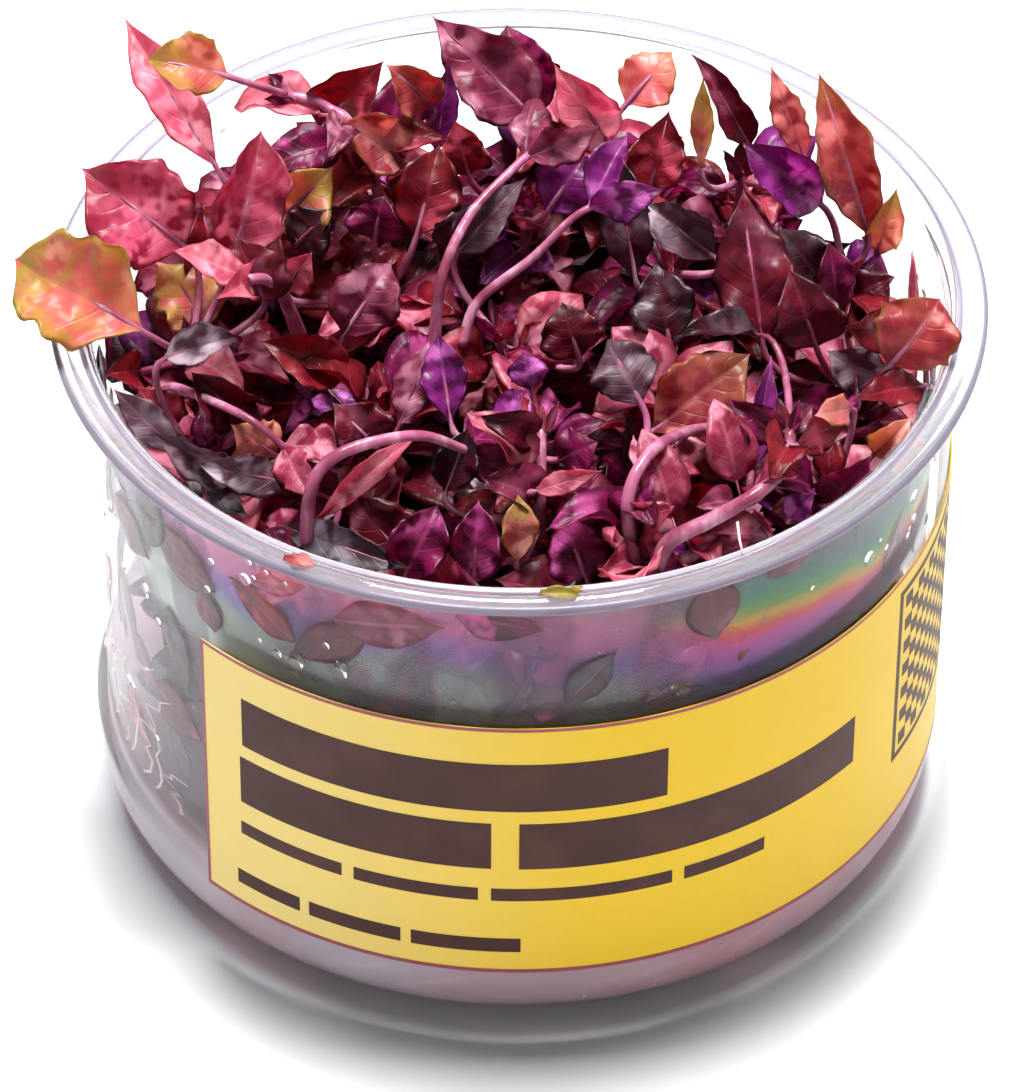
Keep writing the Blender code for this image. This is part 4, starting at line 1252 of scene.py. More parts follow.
class Canopy:
    """Finds where each leaf stands, by the rule of the frame's solids.

    A leaf of the tables slides along the line of sight, and turns, until it is clear of the stems,
    the cup and the leaves before it. A leaf below the canopy turns about its stem.
    """

    def __init__(self) -> None:
        """Grow the stems, and keep everything that a new leaf has to miss."""
        self.lines = {name: route(points, STEM_STEP) for name, points in STEMS.items()}
        self.taken = [(name, tree_of(*coarse_tube(line))) for name, line in self.lines.items()]
        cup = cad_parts["cup"].data
        corners = [v.co / MM for v in cup.vertices]
        self.taken.append(("cup", tree_of(corners, [tuple(p.vertices) for p in cup.polygons])))
        self.leaves: list[Leaf] = []
        self.lost: list[str] = []

    def nearest(self, base: Vector) -> tuple[str, Vector]:
        """The stem, and the point on it, that a leaf with this blade foot grows from."""
        best = (math.inf, "", base)
        for name, line in self.lines.items():
            for before, after in zip(line[1:], line[2:]):
                spot, share = geometry.intersect_point_line(base, before, after)
                spot = before.lerp(after, min(LAST_ROOT_SHARE, max(0.0, share)))
                cost = (base - spot).length + 2.0 * max(0.0, spot.z - base.z + 1.0)
                if cost < best[0]:
                    best = (cost, name, spot)
        return best[1], best[2]

    def clear(self, points: list[Vector], faces: Faces, stem: str) -> bool:
        """Whether a leaf misses itself and the rest, apart from its foot in its own stem."""
        whole = tree_of(points, faces)
        if any(not set(faces[a]) & set(faces[b]) for a, b in whole.overlap(whole)):
            return False
        outer = tree_of(points, [f for f in faces if min(f) >= 4])
        return not any((outer if name == stem else whole).overlap(tree) for name, tree in self.taken)

    def settle(
        self, name: str, places: Iterator[Place], hue: Hue, grade: Grade, alone: bool = False
    ) -> None:
        """Keep a leaf at the first of its places that is clear."""
        for place in places:
            stem, spot = self.nearest(place.base)
            away = (place.base - spot).normalized()
            foot = spot + away * (STEM_RADIUS + FIT_GAP) if alone else spot
            points, faces = place.coarse(foot, name)
            if self.clear(points, faces, "" if alone else stem):
                self.taken.append((name if alone else stem, tree_of(points, faces)))
                self.leaves.append(Leaf(name, stem, foot, place, hue, grade))
                return
        self.lost.append(name)

    @staticmethod
    def placed(row: tuple) -> Iterator[Place]:
        """Places to try for a leaf of the tables: slid along the line of sight and turned."""
        base, tip, width, arch, turn, _ = row
        for extra in TURNS:
            for slide in SLIDES:
                offset = SIGHT * (slide * SLIDE_STEP)
                yield Place(Vector(base) + offset, Vector(tip) + offset, width, arch, turn + extra)

    @staticmethod
    def hung(line: list[Vector], sizes: tuple, bearing: float) -> Iterator[Place]:
        """Places to try for a leaf below the canopy: turned about its stem, higher or lower."""
        height, _, reach, width, rise = sizes
        for drop in UNDER_DROPS:
            spot = min(line, key=lambda p: abs(p.z - height - drop))
            for extra in UNDER_TURNS:
                angle = math.radians(bearing + extra)
                away = Vector((math.cos(angle), math.sin(angle), 0))
                base = spot + away * UNDER_STALK + Vector((0, 0, 1))
                yield Place(base, spot + away * reach + Vector((0, 0, rise)), width, reach / 8, 30)

    def grow(self) -> None:
        """Settle every leaf, in the order of the frame's solids."""
        for name, row in BIG_LEAVES.items():
            self.settle(name, self.placed(row), Hue(row[-1]), Grade.LARGE, alone=True)
        for name, row in STEM_LEAVES.items():
            self.settle(name, self.placed(row), Hue(row[-1]), Grade.MIDDLE)
        for number, (name, line) in enumerate(self.lines.items()):
            for k, sizes in enumerate(UNDER_LEAVES):
                hue = Hue(UNDER_COLOURS[(number + k) % len(UNDER_COLOURS)])
                places = self.hung(line, sizes, sizes[1] + UNDER_BEARING_STEP * number)
                self.settle(f"under_{name}_{k}", places, hue, Grade.LOW)
        LOG.info("%d leaves placed, without a place: %s", len(self.leaves), self.lost)


# Leaves whose margin swings in and out more than the rest's, and by how many times
LOBED = {
    "far_left": 1.6, "olive_left": 1.5, "flap_back_right": 1.5,
    "salmon_back_right": 1.4, "crimson_left": 1.3,
}
# Waves along a margin, slow on each edge and quick on each edge
WAVE_RATES = ((1.2, 2.0), (1.2, 2.0), (3.0, 4.6), (3.0, 4.6))


@dataclass
class BladeForm:
    """The chance part of one blade's form, drawn from the leaf's name.

    Attributes:
        phase, beat: the ripple of the frame's solid.
        fold: how far the two halves fold up along the midrib.
        bow: how far each half rolls up or down on its way to the margin, in radians.
        belly: power that moves the widest place, towards the stalk below 1 and towards the tip above.
        twist: turn of the blade about its midrib from stalk to tip, in radians.
        curl: how far the tip bends back, as a share of the blade's length.
        rates: waves along each margin, slow and quick.
        starts: where each of those waves starts.
    """

    phase: float
    beat: float
    fold: float
    bow: float
    belly: float
    twist: float
    curl: float
    rates: list[float]
    starts: list[float]

    @classmethod
    def drawn(cls, name: str) -> "BladeForm":
        """The form of a leaf with this name."""
        waves = random.Random(name)
        phase, beat = waves.uniform(0, 6), waves.uniform(7, 12)
        fine = random.Random("fine " + name)
        return cls(
            phase, beat, fine.uniform(-0.1, 0.35), fine.uniform(-0.8, 1.3), fine.uniform(0.85, 1.2),
            math.radians(fine.uniform(-34, 34)), fine.uniform(-0.05, 0.17),
            [fine.uniform(*span) * math.tau for span in WAVE_RATES],
            [fine.uniform(0, math.tau) for _ in range(4)],
        )

    def margin(self, edge: int, u: float) -> float:
        """The margin's wave at u along one of the two edges, from about -1 to 1."""
        slow = math.sin(self.rates[edge] * u + self.starts[edge])
        quick = math.sin(self.rates[edge + 2] * u + self.starts[edge + 2])
        return 0.65 * slow + 0.35 * quick

    def swing(self, edge: int, u: float) -> float:
        """How far the margin swings in or out at u, from about -1 to 1."""
        slow = math.sin(self.rates[1 - edge] * 1.3 * u + self.starts[edge + 2])
        quick = math.sin(self.rates[edge + 2] * 1.6 * u + self.starts[1 - edge])
        return 0.6 * slow + 0.4 * quick


@dataclass
class BladeMaker:
    """Makes a leaf's fine blade: ruffled, crumpled, and closed round its edge.

    Attributes:
        thickness: of the blade, in millimetres.
        ruffle: height of the margin's waves, as a share of the half width.
        quilt: rise between the side veins, as a share of the width.
        lobe: how far the margin swings in and out, as a share of the half width.
        crumple: height of the blade's dents, in millimetres.
    """

    thickness: float = 0.2
    ruffle: float = 0.38
    quilt: float = 0.008
    lobe: float = 0.11
    crumple: float = 0.6

    def ring_number(self, place: Place, u: float) -> float:
        """The number of the solid's ring at u, between whole numbers too."""
        stations = SMALL_STATIONS if place.small else LARGE_STATIONS
        first = 1 if place.small else 2
        for k, (low, high) in enumerate(zip(stations, stations[1:])):
            if u <= high:
                return first + k + (u - low) / (high - low)
        return first + len(stations) - 1.0

    def add(self, leaf: Leaf, shell: Shell, top: int) -> None:
        """Add the blade of a leaf.

        Args:
            leaf: the leaf.
            shell: the piece that it belongs to.
            top: the slot of its upper side; the next slot is its lower side.
        """
        place = leaf.place
        along, across = leaf.grade.value
        form = BladeForm.drawn(leaf.name)
        length = (place.tip - place.base).length
        veins = LEAF_FINISHES[leaf.hue].veins
        lobe = self.lobe * LOBED.get(leaf.name, 1.0)
        upper: Grid = []
        lower: Grid = []
        for i in range(along):
            u = i / along
            ahead, up, centre = self.spine(place, form, length, u)
            side = ahead.cross(up)
            half = max(STALK_RADIUS * 0.8 * (1 - u), place.width / 2 * pointed_share(u ** form.belly))
            calm = math.sin(math.pi * u) ** 0.5
            ripple = form.beat * self.ring_number(place, u) / 7 + form.phase
            row_up, row_low = [], []
            for j in range(across + 1):
                v = 2 * j / across - 1
                edge, off = (0 if v < 0 else 1), abs(v)
                lift = EDGE_LIFT + EDGE_WAVE * math.sin(ripple + (0.0, 2.4)[edge])
                crest = abs(math.sin(math.pi * veins * (u - VEIN_LEAN * off ** 1.3))) ** 0.7
                wave = self.ruffle * form.margin(edge, u) * calm * off ** 2.2
                rise = half * (lift * off ** 1.5 + form.fold * off + wave)
                rise += self.quilt * place.width * crest * math.sin(math.pi * min(1.0, off)) * calm
                roll = form.bow * off * (0.6 + 0.8 * u) * calm + 1e-6
                rise += half * off * (1 - math.cos(roll)) / roll
                reach = half * math.sin(roll) / roll * (1 + lobe * form.swing(edge, u) * calm * off)
                spot = centre + side * (v * reach)
                rise += self.crumple * noise.noise(spot * 0.36) * calm * min(1.0, place.width / 7)
                spot += up * rise
                row_up.append(spot)
                row_low.append(spot - up * self.thickness * (1 - off ** 4))
            upper.append(row_up)
            lower.append(row_low)
        self.close(upper, lower, self.spine(place, form, length, 1.0)[2], shell, top)

    @staticmethod
    def spine(
        place: Place, form: BladeForm, length: float, u: float
    ) -> tuple[Vector, Vector, Vector]:
        """The way ahead, the way up and the midrib's place at u along a blade."""
        ahead = ((place.middle - place.base) * (1 - u) + (place.tip - place.middle) * u).normalized()
        up = (place.normal - ahead * place.normal.dot(ahead)).normalized()
        turn = form.twist * (u - 0.35)
        up = up * math.cos(turn) + ahead.cross(up) * math.sin(turn)
        centre = bend(place.base, place.middle, place.tip, u)
        back = up * -form.curl - ahead * abs(form.curl) * 0.3
        centre += back * length * max(0.0, u - 0.55) ** 2 / 0.2
        return ahead, up, centre

    @staticmethod
    def close(upper: Grid, lower: Grid, tip: Vector, shell: Shell, top: int) -> None:
        """Join the two sides round their edge and at the tip, and add them to the piece."""
        along, across = len(upper), len(upper[0]) - 1
        points = [p for row in upper for p in row] + [tip]
        marks = [(i / along, j / across) for i in range(along) for j in range(across + 1)]
        marks.append((1.0, 0.5))
        peak = len(points) - 1
        numbers = [[i * (across + 1) + j for j in range(across + 1)] for i in range(along)]
        beneath = [list(row) for row in numbers]
        for i in range(1, along):
            for j in range(1, across):
                beneath[i][j] = len(points)
                points.append(lower[i][j])
                marks.append((i / along, j / across))
        faces: Faces = []
        slots: list[int] = []
        for i in range(along - 1):
            for j in range(across):
                a, b, c, d = numbers[i][j:j + 2] + numbers[i + 1][j:j + 2]
                faces.append((a, b, d, c))
                a, b, c, d = beneath[i][j:j + 2] + beneath[i + 1][j:j + 2]
                faces.append((a, c, d, b))
                slots += [top, top + 1]
        for j in range(across):
            faces.append((numbers[-1][j], numbers[-1][j + 1], peak))
            faces.append((beneath[-1][j + 1], beneath[-1][j], peak))
            slots += [top, top + 1]
        shell.add(points, faces, marks, slots)

    @staticmethod
    def rib(leaf: Leaf) -> Thread:
        """The leaf's stalk, which runs on under the blade as its midrib."""
        place = leaf.place
        form = BladeForm.drawn(leaf.name)
        length = (place.tip - place.base).length
        rest = place.rest(leaf.foot)
        points, radii = [], []
        for k in range(8):
            t = k / 8
            points.append(bend(leaf.foot, place.base - rest, place.base, t))
            radii.append(STALK_RADIUS * (1.05 - 0.2 * t))
        for k in range(11):
            u = 0.9 * k / 10
            _, up, centre = BladeMaker.spine(place, form, length, u)
            points.append(centre - up * (0.1 + 0.08 * min(1.0, u * 5)))
            radii.append(max(0.07, STALK_RADIUS * 0.85 * (1 - u) ** 0.8 * min(1.0, place.width / 7)))
        return Thread(points, radii)


class Workshop:
    """The materials and Geometry Nodes trees that the pieces share."""

    def __init__(self) -> None:
        """Make each finish once."""
        self.trees = Trees()
        self.stem = StemFinish().coat()
        self.leaf = {
            hue: tuple(
                finish.coat(f"{hue.value}_leaf_{side}", side == "lower") for side in ("upper", "lower"))
            for hue, finish in LEAF_FINISHES.items()
        }

    def both_sides(self, hues: Iterable[Hue]) -> list[Skin]:
        """The upper and the lower finish of each hue."""
        return [skin for hue in hues for skin in self.leaf[hue]]

    def sweep(self, threads: Sequence[Thread], sides: int, skin: Skin) -> bpy.types.Mesh:
        """Round tubes along threads.

        Args:
            threads: the threads.
            sides: the number of sides of each tube.
            skin: the tubes' material.

        Returns:
            One mesh, in metres.
        """
        mesh = bpy.data.meshes.new("threads")
        points = [tuple(p * MM) for thread in threads for p in thread.points]
        edges, start = [], 0
        for thread in threads:
            edges += [(start + k, start + k + 1) for k in range(len(thread.points) - 1)]
            start += len(thread.points)
        mesh.from_pydata(points, edges, [])
        thick = mesh.attributes.new("thick", "FLOAT", "POINT")
        thick.data.foreach_set("value", [r * MM for thread in threads for r in thread.radii])
        return self.trees.swept.run(mesh, {"Sides": sides, "Skin": skin})


def fit(obj: bpy.types.Object, slot: str, *nodes: str) -> None:
    """Let a piece ride on the object and stand for its solids, which are hidden."""
    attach(obj, BODY)
    if nodes:
        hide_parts(*nodes)
    LOG.info("%s: %d faces", obj.name, len(obj.data.polygons))


def fit_mesh(name: str, mesh: bpy.types.Mesh, skin: Skin, slot: str, *nodes: str) -> None:
    """Make and fit a piece of one mesh with one finish."""
    shell = Shell()
    shell.take(mesh, 0)
    fit(shell.piece(name, [skin]), slot, *nodes)


def in_order(hues: Iterable[Hue]) -> list[Hue]:
    """Each hue once, in the order of their names."""
    return sorted(set(hues), key=lambda hue: hue.value)


def round_axis_spot(angle: float, radius: float, height: float) -> Vector:
    """The point at an azimuth in radians, 0 at the viewer."""
    return Vector((radius * math.sin(angle), -radius * math.cos(angle), height))


# Fleshy shoots that bend over at the top: radius, colour of the leaves and the points on the way
SHOOTS = (
    (0.9, "pink", (
        (-23.5, 2.5, 57), (-24.5, 0.0, 63), (-25.5, -1.5, 67), (-27.0, -3.0, 69.5),
        (-29.0, -4.5, 70.5),
    )),
    (0.8, "magenta", (
        (-22.0, -29.0, 55), (-21.6, -29.6, 62), (-20.3, -28.2, 65), (-16.8, -26.6, 66.5),
        (-10.2, -24.1, 66), (-5.0, -22.0, 62),
    )),
    (0.85, "salmon", (
        (12.5, -34.0, 55), (11.5, -33.0, 62.5), (11.6, -31.7, 65), (12.6, -29.6, 66.5),
        (14.5, -26.7, 67), (17.6, -23.7, 66.5), (21.0, -20.0, 64),
    )),
    (0.95, "crimson", (
        (14.5, -35.5, 58), (15.9, -35.8, 62), (20.1, -34.7, 64), (24.0, -33.6, 66),
        (26.7, -31.0, 66.5), (28.2, -27.3, 66), (29.0, -22.7, 64),
    )),
    (0.75, "pink", (
        (17.0, -36.0, 59.5), (21.0, -34.0, 60), (25.1, -30.9, 58), (27.0, -27.0, 54),
    )),
    (0.7, "mauve", (
        (-9.0, -4.0, 60), (-8.2, -1.1, 68), (-5.3, 4.6, 72), (-0.8, 10.0, 74), (1.0, 12.0, 74.5),
    )),
    (0.6, "violet", (
        (-6.0, -5.0, 62), (-4.3, -2.3, 66), (1.5, 0.3, 70), (5.6, 1.9, 74), (8.0, 3.0, 75),
    )),
    (0.6, "rose", (
        (-38.0, -9.0, 58), (-36.5, -12.0, 62), (-33.0, -16.0, 64), (-28.0, -20.0, 64.5),
        (-24.0, -22.0, 62),
    )),
)
# Leaves on the wall: azimuth, height, length, width, lean from upright in degrees and colour
WALL_LEAVES = (
    (27, 56.0, 9.0, 6.5, 172, "burgundy"), (10, 50.5, 8.5, 4.4, 38, "slate"),
    (63, 48.5, 8.0, 3.2, 35, "burgundy"), (-59, 54.5, 11.0, 6.5, 8, "slate"),
    (-46, 48.0, 6.0, 4.0, -20, "burgundy"), (-53, 38.0, 11.0, 4.6, 160, "slate"),
    (-54, 28.5, 9.5, 7.0, 100, "burgundy"), (-17, 56.5, 12.5, 6.5, 80, "mauve"),
    (-33, 57.5, 7.5, 3.6, 70, "rose"), (-76, 47.0, 9.0, 4.5, 15, "slate"),
    (-82, 30.0, 12.0, 6.0, 30, "mauve"), (-66, 20.0, 8.0, 4.6, 120, "rose"),
    (-2, 58.5, 9.5, 5.0, 100, "magenta"), (40, 59.0, 8.0, 4.0, 75, "burgundy"),
    (-98, 40.0, 11.0, 6.5, -15, "burgundy"), (-118, 50.0, 10.0, 6.0, 60, "crimson"),
    (120, 50.0, 11.0, 6.5, 20, "magenta"), (140, 32.0, 12.0, 7.0, -30, "burgundy"),
    (165, 48.0, 10.5, 6.0, 15, "crimson"), (-150, 36.0, 12.0, 6.5, 35, "magenta"),
    (-172, 22.0, 9.0, 5.5, 80, "burgundy"), (105, 24.0, 9.0, 5.0, 50, "crimson"),
)
# Colours of the other leaves on the wall, and of those that lie close against it
WALL_HUES = ("pink", "rose", "magenta", "burgundy", "crimson", "burgundy", "slate", "black", "mauve")
DARK_HUES = ("burgundy", "crimson", "black", "burgundy")
EXTRA_WALL_LEAVES = 64
# Steps along and across a leaf on the wall, its thickness, its dents and its distance from the wall
WALL_GRID = (14, 6)
WALL_THICKNESS = 0.22
WALL_DENT = 0.25
WALL_GAP = 0.42
# The leaves at a bent shoot's end: how far apart they spread, their length and their width
SHOOT_SPREAD = 0.55
SHOOT_LEAF = (8.5, 4.6)
# A stem's points in the gel, as heights and shares of its radius
STEM_FEET = ((5.5, 0.35), (7.5, 0.7), (9.5, 0.9), (11.5, 1.0))
# Sides of the round tube of a shoot, a stem and a small leaf's rib
SHOOT_SIDES = 12
FINE_STEM_SIDES = 14
RIB_SIDES = 6
# Colours of the small leaves near the top and further down
FILL_HUES = (
    Hue.BURGUNDY, Hue.MAGENTA, Hue.CRIMSON, Hue.MAGENTA, Hue.ROSE,
    Hue.CRIMSON, Hue.MAUVE, Hue.VIOLET, Hue.ROSE, Hue.PINK,
)
DEEP_HUES = (Hue.BURGUNDY, Hue.MAGENTA, Hue.BURGUNDY, Hue.CRIMSON, Hue.MAGENTA, Hue.BLACK)
# Where the viewer would see through the canopy, at a height of 50 mm
GAP_HEIGHT = 50
GAPS = (
    (6.0, 26.5), (-24.2, -1.4), (13.2, -8.9), (-7.6, 14.9), (-17.2, -5.5), (26.1, -13.0), (-5.5, 35.5),
)
# How y falls as a sight line climbs, the tries at each gap and the leaves that close it
SIGHT_SLOPE = 1.123
GAP_TRIES = 40
GAP_LEAVES = 4


@dataclass(frozen=True)
class SmallLeaf:
    """A small leaf between those with solids: its foot, aim, facing, size and colour."""

    spot: Vector
    aim: Vector
    face: Vector
    size: Vector
    hue: Hue


@dataclass
class Foliage:
    """The stems, their leaves and the small leaves that fill the space between them.

    Attributes:
        workshop: the finishes and trees.
        canopy: where the leaves stand.
        blades: what makes their blades.
        stem_step: between a fine stem's points.
        node_gap, node_swell, node_length: from one node of a stem to the next, and their form.
        bud_leaves: small leaves at a stem's tip.
        fill_gap, fill_low, fill_whorl: from one whorl of small leaves to the next, the lowest
            whorl's height and the leaves in each.
        fill_reach: how far from the axis a small leaf may reach.
        fill_extra, fill_heights, fill_lengths: tries at chance, and their heights and lengths.
        fill_widest: the widest small leaf.
        deep_below: the height below which small leaves are dark.
    """

    workshop: Workshop
    canopy: Canopy
    blades: BladeMaker = field(default_factory=BladeMaker)
    stem_step: float = 0.9
    node_gap: float = 8.5
    node_swell: float = 0.32
    node_length: float = 0.9
    bud_leaves: int = 4
    fill_gap: float = 3.2
    fill_low: float = 20.0
    fill_whorl: int = 3
    fill_reach: float = 44.3
    fill_extra: int = 900
    fill_heights: Pair = (30, 60)
    fill_lengths: Pair = (5.0, 18.0)
    fill_widest: float = 9.0
    deep_below: float = 46.0

    def lone_leaves(self) -> None:
        """Make each large leaf, in place of its own solid."""
        for leaf in self.canopy.leaves:
            if leaf.grade is not Grade.LARGE:
                continue
            shell = Shell()
            self.blades.add(leaf, shell, 0)
            shell.take(self.workshop.sweep([self.blades.rib(leaf)], 8, self.workshop.stem), 2)
            upper, lower = self.workshop.leaf[leaf.hue]
            obj = shell.piece(f"{leaf.name}_leaf", [upper, lower, self.workshop.stem])
            fit(obj, f"leaf_{leaf.hue.value}", f"leaf_{leaf.name}")

    def wall_leaves(self, cup: "Cup") -> None:
        """Make the leaves that lie flat against the inside of the wall, held by its damp."""
        rows = [(*row, WALL_GAP) for row in WALL_LEAVES] + self.more_wall_leaves()
        shell = Shell()
        hues = in_order(Hue(row[5]) for row in rows)
        for row in rows:
            self.wall_leaf(cup, shell, row, 2 * hues.index(Hue(row[5])))
        fit(shell.piece("leaves_on_the_wall", self.workshop.both_sides(hues)), "stem")
        self.canopy.taken.append(("wall leaves", tree_of(shell.points, shell.faces)))

    @staticmethod
    def wall_leaf(cup: "Cup", shell: Shell, row: tuple, top: int) -> None:
        """Add one of the leaves on the wall.

        Args:
            cup: the cup.
            shell: the piece that it belongs to.
            row: its row of the table, with its distance from the wall at the end.
            top: the slot of its upper side.
        """
        azimuth, height, length, width, lean, _, depth = row
        along, across = WALL_GRID
        tilt = math.radians(lean)
        upper = []
        for i in range(along + 1):
            u = i / along
            run = (u - 0.5) * length
            line = []
            for j in range(across + 1):
                v = (2 * j / across - 1) * width / 2 * max(0.04, pointed_share(u))
                right = run * math.sin(tilt) + v * math.cos(tilt)
                z = height + run * math.cos(tilt) - v * math.sin(tilt)
                dent = WALL_DENT * noise.noise(Vector((right, z, azimuth)) * 0.3)
                radius = cup.inner(z) - depth - dent
                line.append(round_axis_spot(math.radians(azimuth) + right / radius, radius, z))
            upper.append(line)
        tip = upper.pop()[across // 2]
        lower = [
            [p - Vector((p.x, p.y, 0)).normalized() * WALL_THICKNESS for p in line]
            for line in upper]
        BladeMaker.close(upper, lower, tip, shell, top)

    @staticmethod
    def more_wall_leaves() -> list[tuple]:
        """More of them at chance, a little further in, round the front and down the left side."""
        pick = random.Random(61)
        rows = []
        for k in range(EXTRA_WALL_LEAVES):
            low = k % 2 and k < 24
            azimuth = -104 + 3.3 * k + pick.uniform(-2, 2)
            close = k % 4 == 0 and not -12 < azimuth < 100
            height = pick.uniform(18, 40) if low else pick.uniform(47.5, 58)
            length = pick.uniform(9, 13) if close else pick.uniform(7, 11)
            width, lean = length * pick.uniform(0.42, 0.6), pick.uniform(0, 360)
            hue = pick.choice(DARK_HUES if close else WALL_HUES)
            gap = WALL_GAP if close else 1.1 + 0.5 * (k % 2)
            rows.append((azimuth, height, length, width, lean, hue, gap))
        return rows

    def shoots(self) -> None:
        """Make the fleshy shoots that bend over at the top, with leaves at their ends."""
        threads, leaves = [], []
        length, width = SHOOT_LEAF
        for number, (radius, hue, points) in enumerate(SHOOTS):
            line = route(points, 0.8)
            count = len(line)
            threads.append(Thread(line, [radius * (1.0 - 0.4 * k / count) for k in range(count)]))
            ahead = (line[-1] - line[-3]).normalized()
            aside = ahead.cross(Vector((0, 0, 1))).normalized()
            for side in (-1, 1):
                base = line[-1] - ahead * 0.6
                course = ahead * 0.8 + aside * side * SHOOT_SPREAD + Vector((0, 0, 0.25))
                tip = base + course * length
                name, place = f"shoot_{number}_{side}", Place(base, tip, width, 1.0, 20.0 * side)
                leaves.append(Leaf(name, "", line[-2], place, Hue(hue), Grade.MIDDLE))
        self.make_stemmed("bent_shoots", threads, SHOOT_SIDES, leaves, False)

    def make_stemmed(
        self, name: str, threads: list[Thread], sides: int, leaves: list[Leaf], ribbed: bool,
        *nodes: str,
    ) -> None:
        """Make one piece of stems and the leaves on them.

        Args:
            name: the piece's name.
            threads: the stems.
            sides: the number of sides of each.
            leaves: the leaves.
            ribbed: whether the leaves have stalks of their own.
            *nodes: the solids that the piece stands for.
        """
        hues = in_order(leaf.hue for leaf in leaves)
        shell = Shell()
        shell.take(self.workshop.sweep(threads, sides, self.workshop.stem), 0)
        for leaf in leaves:
            self.blades.add(leaf, shell, 1 + 2 * hues.index(leaf.hue))
        if ribbed:
            ribs = [self.blades.rib(leaf) for leaf in leaves]
            shell.take(self.workshop.sweep(ribs, RIB_SIDES, self.workshop.stem), 0)
        fit(shell.piece(name, [self.workshop.stem, *self.workshop.both_sides(hues)]), "stem", *nodes)

    def stem_thread(self, name: str) -> Thread:
        """A stem's fine line, swollen at its nodes and run down into the gel."""
        line = route(STEMS[name], self.stem_step)
        drift = random.Random("foot " + name)
        sway = Vector((drift.uniform(-1, 1), drift.uniform(-1, 1), 0))
        foot = Vector((line[0].x, line[0].y, 0))
        below = [foot + Vector((0, 0, z)) + sway * ((GEL_TOP - z) / 7) for z, _ in STEM_FEET]
        points = below + line
        radii = [STEM_RADIUS * share for _, share in STEM_FEET]
        for k in range(len(line)):
            share = k / (len(line) - 1)
            base = STEM_RADIUS + (STEM_TIP_RADIUS - STEM_RADIUS) * share
            gap = (k * self.stem_step) % self.node_gap - self.node_gap / 2
            radii.append(base * (0.94 + self.node_swell * math.exp(-(gap / self.node_length) ** 2)))
        radii[-1] *= 0.6
        return Thread(points, radii)

    def bud(self, name: str) -> list[Leaf]:
        """The small leaves that close a stem's tip."""
        line = self.canopy.lines[name]
        ahead = (line[-1] - line[-2]).normalized()
        pick = random.Random("bud " + name)
        leaves = []
        for k in range(self.bud_leaves):
            angle = math.tau * (k / self.bud_leaves + pick.uniform(-0.05, 0.05))
            out = Vector((math.cos(angle), math.sin(angle), 0.0))
            out = (out - ahead * out.dot(ahead)).normalized()
            length = pick.uniform(3.0, 4.5) - 0.7 * (k % 2)
            base = line[-1] - ahead * 0.8 + out * 0.3
            tip = base + ahead * length + out * length * 0.45
            hue = pick.choice((Hue.CRIMSON, Hue.ROSE, Hue.MAGENTA, Hue.BURGUNDY))
            place = Place(base, tip, length * 0.42, -0.5, 0)
            leaves.append(Leaf(f"bud_{name}_{k}", name, line[-1] - ahead, place, hue, Grade.LOW))
        return leaves

    def plantlets(self) -> None:
        """Make each stem with the leaves that grow from it, in place of its solid."""
        for name in STEMS:
            own = [leaf for leaf in self.canopy.leaves if leaf.stem == name]
            leaves = [leaf for leaf in own if leaf.grade is not Grade.LARGE] + self.bud(name)
            self.make_stemmed(
                f"{name}_plantlet", [self.stem_thread(name)], FINE_STEM_SIDES, leaves, True,
                f"plantlet_{name}")

    def pattern(self) -> bpy.types.Object:
        """The small leaf that fills the canopy, along X, one unit long and one across."""
        shell = Shell()
        along, across = 8, 4
        upper, lower = [], []
        for i in range(along):
            u = i / along
            half = max(18.0, 500 * blade_share(u))
            arch = 150 * math.sin(math.pi * u * 0.9) - 150 * u * u
            row = []
            for j in range(across + 1):
                v = 2 * j / across - 1
                wave = 60 * math.sin(9 * u + (0.0 if v < 0 else 2.0)) * v * v
                rise = arch + 0.3 * half * abs(v) ** 1.5 + wave
                row.append(Vector((200 + 800 * u, half * v, rise)))
            upper.append(row)
            lower.append([p - Vector((0, 0, 24.0)) for p in row])
        BladeMaker.close(upper, lower, Vector((1000, 0, -40)), shell, 0)
        corners = ((-22, 0), (0, 22), (22, 0), (0, -22))
        stalk = [Vector((x, y, z)) for x in (0.0, 220.0) for y, z in corners]
        sides = [(0, 1, 5, 4), (1, 2, 6, 5), (2, 3, 7, 6), (3, 0, 4, 7), (3, 2, 1, 0), (4, 5, 6, 7)]
        shell.add(stalk, sides, [(0.05, 0.5)] * 8, [0] * 6)
        return shell.piece("small_leaf_pattern", [])

